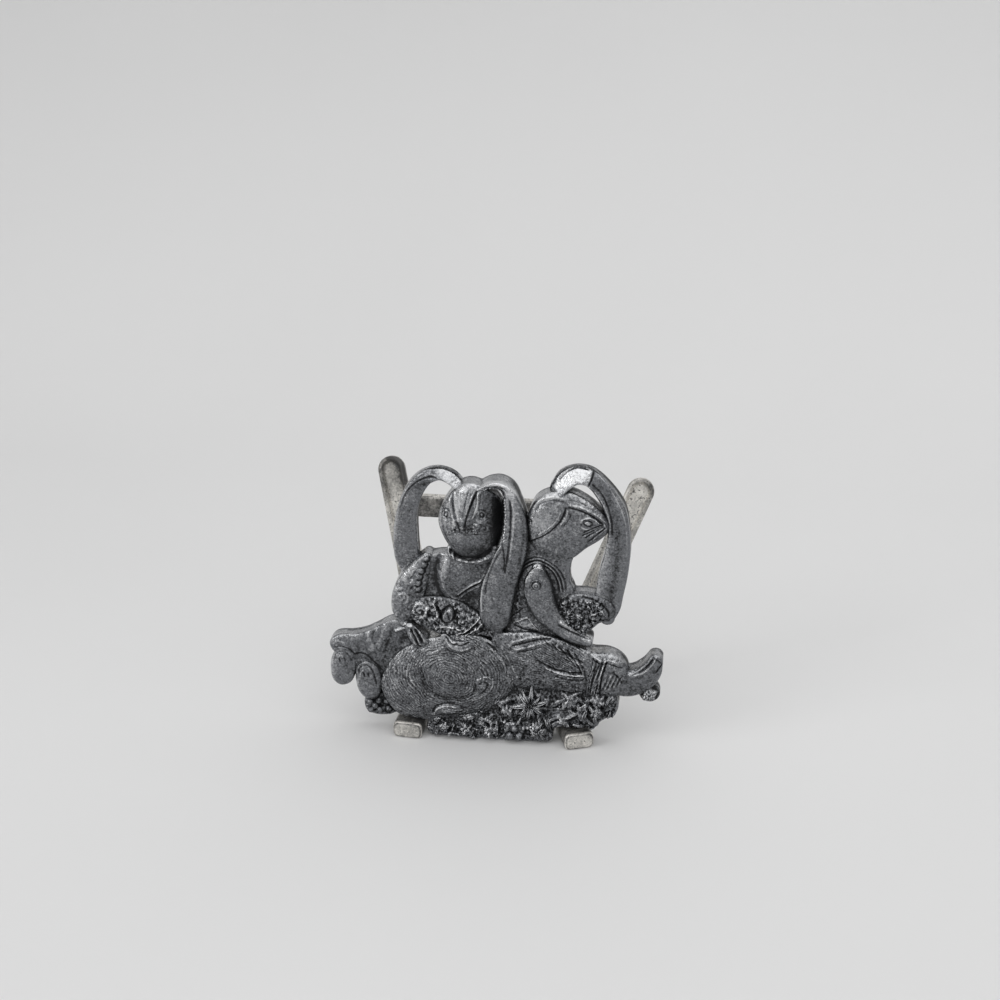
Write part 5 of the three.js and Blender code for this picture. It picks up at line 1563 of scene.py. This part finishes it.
def section(width, thick, corner, count):
    """Points round a rounded rectangle, spread evenly, starting at the middle of its front face."""
    a, b = width / 2 - corner, thick / 2 - corner
    points = [[0.0, thick / 2]]
    for cx, cy, turn in ((a, b, 90), (a, -b, 0), (-a, -b, -90), (-a, b, -180)):
        for k in range(CORNER_STEPS):
            angle = math.radians(turn - CORNER_TURN * k)
            points.append([cx + corner * math.cos(angle), cy + corner * math.sin(angle)])
    return even_path(np.array(points), count, closed=True)


def bar_mesh(name, rings, marks):
    """A closed bar from rings of points, with its ends capped by shrinking the last ring to a point."""
    count = len(rings[0])
    first, last = rings[0].mean(0), rings[-1].mean(0)
    rings = [np.repeat(first[None], count, 0), *rings, np.repeat(last[None], count, 0)]
    x, y, z = np.vstack(rings).T
    tone, hollow = np.vstack([marks[0], *marks, marks[-1]]).T
    obj = ring_mesh(name + "_bar", to_frame(x, -y, z), len(rings), count, tone, hollow, 0.005)
    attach(obj, "root")
    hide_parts(name)
    return obj


def unit(v):
    return v / np.linalg.norm(v)


print("points round a rail's section:", len(section(7, 4, 1.1, 128)))

# %% [markdown]
# The dish is a shallow pool in the arm's face, round at the top and narrower at its foot, with a soft step down
# from the rim. Painted shade darkens the top of each arm, in its dish most at the round end and on its right
# side. Painted shade also darkens each rail just behind its cut end, and the cut end's edge carries a painted
# highlight between dark lines.

# %% Stand: the dish and the sizes
RAIL_WIDTH, RAIL_HEIGHT, RAIL_ROUND = 7.0, 4.0, 1.1
FOOT_REACH, HEEL_DEPTH, BEND_REACH = 7.0, 19.0, 4.5
ARM_LEAN = math.radians(18)
ARM_WIDTH, ARM_THICKNESS, ARM_ROUND, ARM_LENGTH = 6.8, 3.0, 0.9, 57.3
DISH_RIM, DISH_DEPTH, DISH_LENGTH = 0.75, 1.15, 37.0
DISH_STEP = 0.8  # width of the step down into the dish
DISH_TAPER = 0.35  # how much narrower the dish is at its foot
TOP_SHADE_REACH, FOOT_SHADE_REACH = 11.0, 12.0  # how far the painted shade runs from the arm's tip and from the rail's end
# the rail's end: how far in, how much smaller than the rail, and how dark its painted shade is, below zero a painted
# highlight
END_RINGS = ((0, 1.3, 0.3), (0.05, 0.95, 0.4), (0.15, 0.6, 0.9), (0.3, 0.3, 0.5), (0.45, 0.12, -0.3), (0.65, 0, -0.3))
# where the arm's tip and the heel stand, how far the arm splays, and how much painted shade its top gets
LEGS = {"left_leg": (-21.6, -19.4, math.radians(-13), 0.9), "right_leg": (20.0, 10.6, math.radians(22), 0.25)}


def dish_depth(across, below):
    """How deep the dish is at places across the arm, that far below the dish's top end."""
    if below < 0 or below > DISH_LENGTH:
        return np.zeros(len(across))
    half = ARM_WIDTH / 2 - DISH_RIM
    taper = half * (1 - DISH_TAPER * below / DISH_LENGTH)
    room = taper - np.hypot(across, max(0.0, half - below))
    room = np.minimum(room, (DISH_LENGTH - below) * 0.4)
    step = np.clip(room / DISH_STEP, 0, 1)
    return DISH_DEPTH * step * step * (3 - 2 * step)


print("dish depth across its middle:", dish_depth(np.array([-2.7, -2.2, 0, 2.2, 2.7]), 10.0).round(2))

# %% [markdown]
# A leg is drawn in one go, from the cut end of the rail, along the table, round the bend and up to the tip. Its
# faces are a little uneven, as cast bar is.

# %% Stand: the two legs
LEG_POINTS = 128  # round each section


def uneven_face(points):
    """Low swells of a cast face, in millimetres."""
    x, y, z = points.T
    return 0.05 * swells(x + y, z, 3.1, 7) + 0.03 * swells(x - y, z + y, 1.2, 8)


def leg_ring(middle, side, face, width, thick, corner, stain_and_painted_light=0.0, below=None):
    """One section of a leg and its marks. On an arm, below says how far it lies below the dish's top end."""
    outline = section(width, thick, min(corner, width / 2.02, thick / 2.02), LEG_POINTS)
    across, out = outline.T
    points = middle + across[:, None] * side + out[:, None] * face
    depth = 0
    mark = np.zeros((LEG_POINTS, 2))
    mark[:, 0] = stain_and_painted_light
    if below is not None:
        depth = dish_depth(across, below) * (out > 0)
        # The arm's front face round its dish is a little darker, and painted shade darkens the arm's top, most on its
        # right side and its front.
        rim = np.clip(1 - depth / DISH_DEPTH * 1.2, 0, 1)
        painted_shade_here = stain_and_painted_light * (1 + np.clip(across, -1, 2) / 3) * np.clip(0.6 + out / 2, 0.1, 1)
        mark[:, 0] = 0.3 * rim * (out > 0) + painted_shade_here
        mark[:, 1] = np.clip(depth / DISH_DEPTH, 0, 1)
    on_face = np.abs(out) > thick / 2 - 0.2
    return points + face * (uneven_face(points) * on_face - depth)[:, None], mark


def leg(name, tip_x, heel_x, splay, top_painted_shade):
    level = RAIL_HEIGHT / 2
    tip = np.array([tip_x, -FOOT_REACH, level])
    corner = np.array([heel_x, HEEL_DEPTH, level])
    run = unit(corner - tip)
    up = np.array([math.sin(splay), math.cos(splay) * math.sin(ARM_LEAN), math.cos(splay) * math.cos(ARM_LEAN)])
    z_up = np.array([0, 0, 1.0])
    rail_side = np.array([run[1], -run[0], 0])
    arm_face = np.array([0, -math.cos(ARM_LEAN), math.sin(ARM_LEAN)])
    arm_side = np.cross(up, arm_face)
    rings = [leg_ring(tip + run * inset, rail_side, z_up, RAIL_WIDTH - less, RAIL_HEIGHT - less, RAIL_ROUND, dark)
             for inset, less, dark in END_RINGS]

    bend_start, bend_end = corner - run * BEND_REACH, corner + up * BEND_REACH
    for s in np.linspace(0.9, float(np.linalg.norm(bend_start - tip)), 70):
        # painted shade on the rail just behind its cut end, fading back
        stain_and_painted_light = min(1, (s - 0.8) / 0.4) * max(0, 1 - s / FOOT_SHADE_REACH)
        rings.append(leg_ring(tip + run * s, rail_side, z_up, RAIL_WIDTH, RAIL_HEIGHT, RAIL_ROUND, stain_and_painted_light))

    for t in np.linspace(0, 1, 22)[1:-1]:
        middle = (1 - t) ** 2 * bend_start + 2 * t * (1 - t) * corner + t * t * bend_end
        tangent = unit((1 - t) * (corner - bend_start) + t * (bend_end - corner))
        side = unit(rail_side * (1 - t) + arm_side * t)
        side = unit(side - tangent * (side @ tangent))
        rings.append(leg_ring(middle, side, np.cross(side, tangent), RAIL_WIDTH + (ARM_WIDTH - RAIL_WIDTH) * t,
                              RAIL_HEIGHT + (ARM_THICKNESS - RAIL_HEIGHT) * t,
                              RAIL_ROUND + (ARM_ROUND - RAIL_ROUND) * t))

    radius = ARM_WIDTH / 2
    straight = ARM_LENGTH - radius
    round_tip = [straight + radius * math.sin(a) for a in np.linspace(0, math.pi * 0.49, 26)[1:]]
    for reach in [*np.linspace(BEND_REACH, straight, 190), *round_tip]:
        width = 2 * math.sqrt(max(radius**2 - max(0.0, reach - straight) ** 2, 0.01))
        below = ARM_LENGTH - DISH_RIM - reach
        rings.append(leg_ring(corner + up * reach, arm_side, arm_face, width, ARM_THICKNESS,
                              ARM_ROUND * min(1, width / ARM_WIDTH + 0.1),
                              top_painted_shade * max(0.0, 1 - below / TOP_SHADE_REACH), below))
    return bar_mesh(name, *zip(*rings))


stand = {name: leg(name, *values) for name, values in LEGS.items()}
print("faces of a leg:", len(stand["left_leg"].data.polygons))

# %% [markdown]
# A flat bar joins the two arms behind the heads. Its edges are soft and a little wavy, as cast bar stock is,
# and its ends are cut to the slope of the arms.

# %% Stand: the crossbar
BAR_POINTS, BAR_ROUND, BAR_GAP = 96, 0.5, 0.15
low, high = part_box("crossbar")
bar_height, bar_thick = (high.z - low.z) / MM, (high.y - low.y) / MM
bar_z, bar_depth = (high.z + low.z) / 2 / MM, SHIFT_Y - (high.y + low.y) / 2 / MM


def arm_edge(name, z, inward):
    """Where the inner edge of an arm lies at each height. Inward is 1 on the left arm and -1 on the right."""
    _, heel_x, splay, _ = LEGS[name]
    half = ARM_WIDTH / 2 / math.cos(splay) + BAR_GAP
    return heel_x + (z - RAIL_HEIGHT / 2) * math.tan(splay) / math.cos(ARM_LEAN) + inward * half


rings, marks = [], []
upward, forward = section(bar_height, bar_thick, BAR_ROUND, BAR_POINTS).T
front_face = forward > 0.6 * bar_thick / 2
for s in np.linspace(0, 1, 150):
    z = bar_z + upward
    start, end = arm_edge("left_leg", z, 1), arm_edge("right_leg", z, -1)
    x = start + (end - start) * s
    z = z - np.abs(0.07 * swells(x, z * 0.3, 2.4, 21)) * np.sign(upward)
    rings.append(np.stack([x, -bar_depth - forward, z], axis=1))
    # painted shade on the crossbar's front face
    marks.append(np.stack([0.5 * front_face + 0.2, front_face], axis=1))
stand["crossbar"] = bar_mesh("crossbar", rings, marks)
print("crossbar, mm:", round(bar_height, 2), "by", round(bar_thick, 2))

# %% [markdown]
# Behind the casting a bead of solder fills the corner between its back and each rail: a hollow fillet that
# swells in the middle and thins out at both ends.

# %% Stand: solder
BEAD_POINTS = 40
for name in ("left_solder_bead", "right_solder_bead"):
    low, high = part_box(name)
    x0, x1 = low.x / MM - SHIFT_X, high.x / MM - SHIFT_X
    size = (high.z - low.z) / MM
    rings = []
    for s in np.linspace(0, 1, 24):
        swell = size * (0.25 + 0.75 * math.sin(math.pi * np.clip(s, 0.02, 0.98)) ** 0.4)
        fillet = [[swell * (1 - t) ** 1.6, RAIL_HEIGHT + swell * t**1.6] for t in np.linspace(0, 1, 12)]
        outline = np.array([[0.02, RAIL_HEIGHT - 0.3], *fillet, [-0.3, RAIL_HEIGHT + size * 0.5]])
        y, z = even_path(outline, BEAD_POINTS, closed=True).T
        rings.append(np.stack([np.full(BEAD_POINTS, x0 + (x1 - x0) * s), y, z], axis=1))
    stand[name] = bar_mesh(name, rings, [np.zeros((BEAD_POINTS, 2))] * len(rings))
print("stand pieces:", list(stand))

# %% [markdown]
# Shader sums are written as ordinary Python. One small class holds a socket: an operator on it adds the Math
# node, and one method adds any other node.

# %% Shader arithmetic
class Shade:
    """One output socket of a node tree, with sums written as Python sums."""

    def __init__(self, tree, socket=None):
        self.tree = tree
        self.socket = socket

    def node(self, kind, settings=None, inputs=None, out=0):
        """Adds a node. Its settings are made first, then each input gets a value or a link."""
        made = self.tree.nodes.new(kind)
        for key, value in (settings or {}).items():
            setattr(made, key, value)
        for key, value in (inputs or {}).items():
            if isinstance(value, Shade):
                self.tree.links.new(value.socket, made.inputs[key])
            else:
                made.inputs[key].default_value = value
        return Shade(self.tree, made.outputs[out])

    def math(self, operation, first, second, clamp=False):
        return self.node("ShaderNodeMath", {"operation": operation, "use_clamp": clamp}, {0: first, 1: second})

    def __add__(self, other):
        return self.math("ADD", self, other)

    def __radd__(self, other):
        return self.math("ADD", other, self)

    def __sub__(self, other):
        return self.math("SUBTRACT", self, other)

    def __rsub__(self, other):
        return self.math("SUBTRACT", other, self)

    def __mul__(self, other):
        return self.math("MULTIPLY", self, other)

    def __rmul__(self, other):
        return self.math("MULTIPLY", other, self)

    def clamped(self):
        return self.math("ADD", self, 0.0, clamp=True)

    def blend(self, low_colour, high_colour):
        """Mixes two colours by this value."""
        return self.node("ShaderNodeMix", {"data_type": "RGBA"}, {0: self, 6: low_colour, 7: high_colour}, out=2)


print("operators:", [name for name in vars(Shade) if name.endswith("__") and name[2:5] in ("add", "sub", "mul")])

# %% [markdown]
# Every finish starts the same way: a material, its surface node, and the places on the object that the noise
# hangs on. Noise is made once for each size that the finish has, from sand grain to broad blotches.

# %% Tools for a finish
def new_material(name):
    """A material, its one Principled surface, and the object's own coordinates to build on."""
    made = bpy.data.materials.new(name)
    made.use_nodes = True
    place = Shade(made.node_tree).node("ShaderNodeTexCoord", out="Object")
    return made, made.node_tree.nodes["Principled BSDF"], place


def noise(place, scale, detail, roughness=0.5):
    """Soft noise with that many swells a metre."""
    return place.node("ShaderNodeTexNoise", None,
                      {"Vector": place, "Scale": scale, "Detail": detail, "Roughness": roughness})


def kept_mark(place, name):
    """One of the two marks that the meshes keep on their points."""
    return place.node("ShaderNodeAttribute", {"attribute_name": name}, out="Fac")


def bumped(height, strength, distance):
    """A normal that leans as a surface of that height would."""
    return height.node("ShaderNodeBump", None, {"Strength": strength, "Distance": distance, "Height": height},
                       out="Normal")


def feed(surface_node, **values):
    """Links values to the surface's sockets. An underscore stands for a space."""
    for key, value in values.items():
        value.tree.links.new(value.socket, surface_node.inputs[key.replace("_", " ")])


def grey(value, warmth=0.0):
    """A near-grey colour. Warmth above zero leans to yellow, below zero to blue."""
    return (value * (1 + warmth), value, value * (1 - 2 * warmth), 1.0)


print("a warm grey:", [round(v, 3) for v in grey(0.6, 0.03)])

# %% [markdown]
# Antiqued pewter: grey metal under a black finish that was wiped off again. It stays black in the hollows and
# is rubbed to bare metal on edges and beads, and the two marks also carry painted highlights and painted shade.
# Both are sums of the two marks and of three sizes of noise, so that no border between black and bright is
# clean. The casting sand leaves a fine grain all over.

# %% Antiqued pewter
dark_pewter, surface_node, place = new_material("antiqued pewter")
tone, hollow = kept_mark(place, "tone"), kept_mark(place, "hollow")
fine, specks, blotch = noise(place, 2300, 2, 0.55), noise(place, 1000, 3, 0.6), noise(place, 420, 3, 0.55)
fine_swing, specks_swing, blotch_swing = fine - 0.5, specks - 0.5, blotch - 0.5
# The dark mix holds the finish left in hollows together with painted shade, and the bright mix holds bare metal
# together with painted highlights.
black_and_painted_shade = (hollow * 1.5 - tone * 0.6 + fine_swing * 2.4 + specks_swing * 1.2 + blotch_swing * 0.9 + 0.27).clamped()
worn_and_painted_highlight = (tone * 0.6 - hollow * 0.5 - fine_swing * 1.3 + specks_swing * 0.6 - blotch_swing * 0.7 - 0.13).clamped()
FINISHED, BLACKENED_AND_PAINTED_SHADE, BARE_AND_PAINTED_HIGHLIGHT = grey(0.2, -0.03), grey(0.02, -0.03), grey(0.7, -0.01)
feed(
    surface_node,
    Base_Color=worn_and_painted_highlight.blend(black_and_painted_shade.blend(FINISHED, BLACKENED_AND_PAINTED_SHADE), BARE_AND_PAINTED_HIGHLIGHT),
    Roughness=(0.27 + black_and_painted_shade * 0.2 - worn_and_painted_highlight * 0.04 + specks_swing * 0.3).clamped(),
    Metallic=1 - black_and_painted_shade * 0.4,
    Normal=bumped(fine * 0.5 + specks * 0.5, 0.8, 0.3 * MM),
)
print("nodes:", len(dark_pewter.node_tree.nodes))

# %% [markdown]
# Plain pewter: the stand's bare grey metal, warm and slightly mottled, with dark pits. The tone mark paints
# shade on it: at the top of each arm and its dish, on each rail just behind its cut end and on the front of the
# crossbar.

# %% Plain pewter
light_pewter, surface_node, place = new_material("plain pewter")
tone = kept_mark(place, "tone")
fine, specks, blotch = noise(place, 2200, 2, 0.6), noise(place, 1000, 3, 0.65), noise(place, 190, 4, 0.55)
specks_swing = specks - 0.5
pits = ((0.432 - specks * 0.45 - fine * 0.45) * 9.0).clamped()
# the tone mark here is painted shade on the stand, mixed with random mottling
stain_and_painted_light = (tone + 0.04 + (blotch - 0.5) * 1.7 + specks_swing * 1.7).clamped()
CLEAN, STAINED_AND_SHADED, PITTED = grey(0.86, 0.03), grey(0.1, 0.01), grey(0.12, 0.02)
feed(
    surface_node,
    Base_Color=pits.blend(stain_and_painted_light.blend(CLEAN, STAINED_AND_SHADED), PITTED),
    Roughness=(0.45 + specks_swing * 0.4).clamped(),
    Normal=bumped(fine * 0.3 + specks * 0.7, 0.5, 0.12 * MM),
)
surface_node.inputs["Metallic"].default_value = 0.65
print("nodes:", len(light_pewter.node_tree.nodes))

# %% [markdown]
# The relief takes the dark finish and the stand the light one.

# %% Give each piece its finish
for pieces, finish in ((cast_objects, dark_pewter), (stand, light_pewter)):
    for obj in pieces.values():
        obj.data.materials.clear()
        obj.data.materials.append(finish)
print("dark pieces:", len(cast_objects), "light pieces:", len(stand))

# %% [markdown]
# The studio is a pale table that curves up into a pale wall, so no horizon shows. The paper darkens a little
# towards the upper left, away from the light.

# %% Table and wall
TABLE_FRONT, TABLE_BACK, CURVE_RADIUS, WALL_TOP, HALF_WIDTH = -700, 140, 160, 900, 1200
backdrop_profile = [[TABLE_FRONT, 0], [TABLE_BACK, 0]]
for angle in np.radians(np.arange(7.5, 90.1, 7.5)).tolist():
    backdrop_profile.append([TABLE_BACK + CURVE_RADIUS * math.sin(angle), CURVE_RADIUS * (1 - math.cos(angle))])
backdrop_profile.append([TABLE_BACK + CURVE_RADIUS, WALL_TOP])
verts = [(x * MM, y * MM, z * MM) for y, z in backdrop_profile for x in (-HALF_WIDTH, HALF_WIDTH)]
faces = [(2 * k, 2 * k + 1, 2 * k + 3, 2 * k + 2) for k in range(len(backdrop_profile) - 1)]
sweep = bpy.data.meshes.new("studio_sweep")
sweep.from_pydata(verts, [], faces)
sweep.polygons.foreach_set("use_smooth", [True] * len(faces))
backdrop = new_object("studio_sweep", sweep)
paper, surface_node, place = new_material("pale studio paper")
across, upward = (place.node("ShaderNodeSeparateXYZ", None, {"Vector": place}, out=axis) for axis in (0, 2))
shade = (across * -2.0 + 0.1).clamped() * (upward * 3.0 + 0.2).clamped()
feed(surface_node, Base_Color=(noise(place, 6, 2) * 0.2 + shade * 0.9).clamped().blend(grey(0.8), grey(0.56)))
surface_node.inputs["Roughness"].default_value = 0.9
surface_node.inputs["Specular IOR Level"].default_value = 0.1
sweep.materials.append(paper)
print("sweep faces:", len(faces))

# %% [markdown]
# One broad soft light hangs above and a little in front, which draws the bright tops of the ears. Weak fill
# comes from the front and the left, a low panel in front gives the upright faces something to mirror, and the
# world adds a little light from everywhere.

# %% Lights
AIM = Vector((0, 0, 0.03))
LIGHTS = {  # place and size in metres, power in watts
    "top_softbox": ((0.12, -0.08, 0.74), (1.4, 1.2), 5.3),
    "front_panel": ((0.15, -1.0, 0.3), (0.5, 0.35), 0.6),
    "front_fill": ((-0.7, -0.5, 0.5), (0.4, 0.4), 1.5),
}
WORLD_LIGHT = 0.34
for name, (place, size, power) in LIGHTS.items():
    lamp = bpy.data.lights.new(name, "AREA")
    lamp.shape = "RECTANGLE"
    lamp.size, lamp.size_y = size
    lamp.energy = power
    obj = new_object(name, lamp)
    obj.location = place
    obj.rotation_euler = (AIM - Vector(place)).to_track_quat("-Z", "Y").to_euler()
world = bpy.data.worlds.new("studio air")
world.use_nodes = True
world.node_tree.nodes["Background"].inputs["Color"].default_value = (1, 1, 1, 1)
world.node_tree.nodes["Background"].inputs["Strength"].default_value = WORLD_LIGHT
scene = bpy.context.scene
scene.world = world
scene.view_settings.view_transform = "Standard"
print("lights:", len(LIGHTS))

# %% [markdown]
# The camera stands where the photographer stood: 7 degrees to the right, looking down by 24 degrees. Its place
# follows from one point at the foot of the relief and where that point lies in the square picture.

# %% Camera
AZIMUTH, ELEVATION = math.radians(7), math.radians(24)
PICTURE = 1000
FOCAL_PIXELS = 1800.0
PIXELS_PER_MM = 4.18
ANCHOR = Vector(to_frame(np.array(-0.7), np.array(7.0), np.array(0.0)).tolist())
ANCHOR_PIXEL = (493.3, 743.8)
SENSOR = 36.0
level = math.cos(ELEVATION)
back = Vector((math.sin(AZIMUTH) * level, -math.cos(AZIMUTH) * level, math.sin(ELEVATION)))
right = Vector((math.cos(AZIMUTH), math.sin(AZIMUTH), 0))
up = back.cross(right)
distance = FOCAL_PIXELS / PIXELS_PER_MM * MM
offset_x = (ANCHOR_PIXEL[0] - PICTURE / 2) / FOCAL_PIXELS
offset_y = (PICTURE / 2 - ANCHOR_PIXEL[1]) / FOCAL_PIXELS
lens = bpy.data.cameras.new("camera")
lens.sensor_width = SENSOR
lens.lens = FOCAL_PIXELS / PICTURE * SENSOR
camera = new_object("camera", lens)
camera.location = ANCHOR + distance * (back - offset_x * right - offset_y * up)
camera.rotation_mode = "QUATERNION"
camera.rotation_quaternion = (-back).to_track_quat("-Z", "Y")
scene.camera = camera
print("camera distance, mm:", round(distance / MM, 1))

# %% [markdown]
# Nothing of the sculpture stands outside the packed model's box: to_frame lays every point of the forms,
# the plate and the stand inside it.
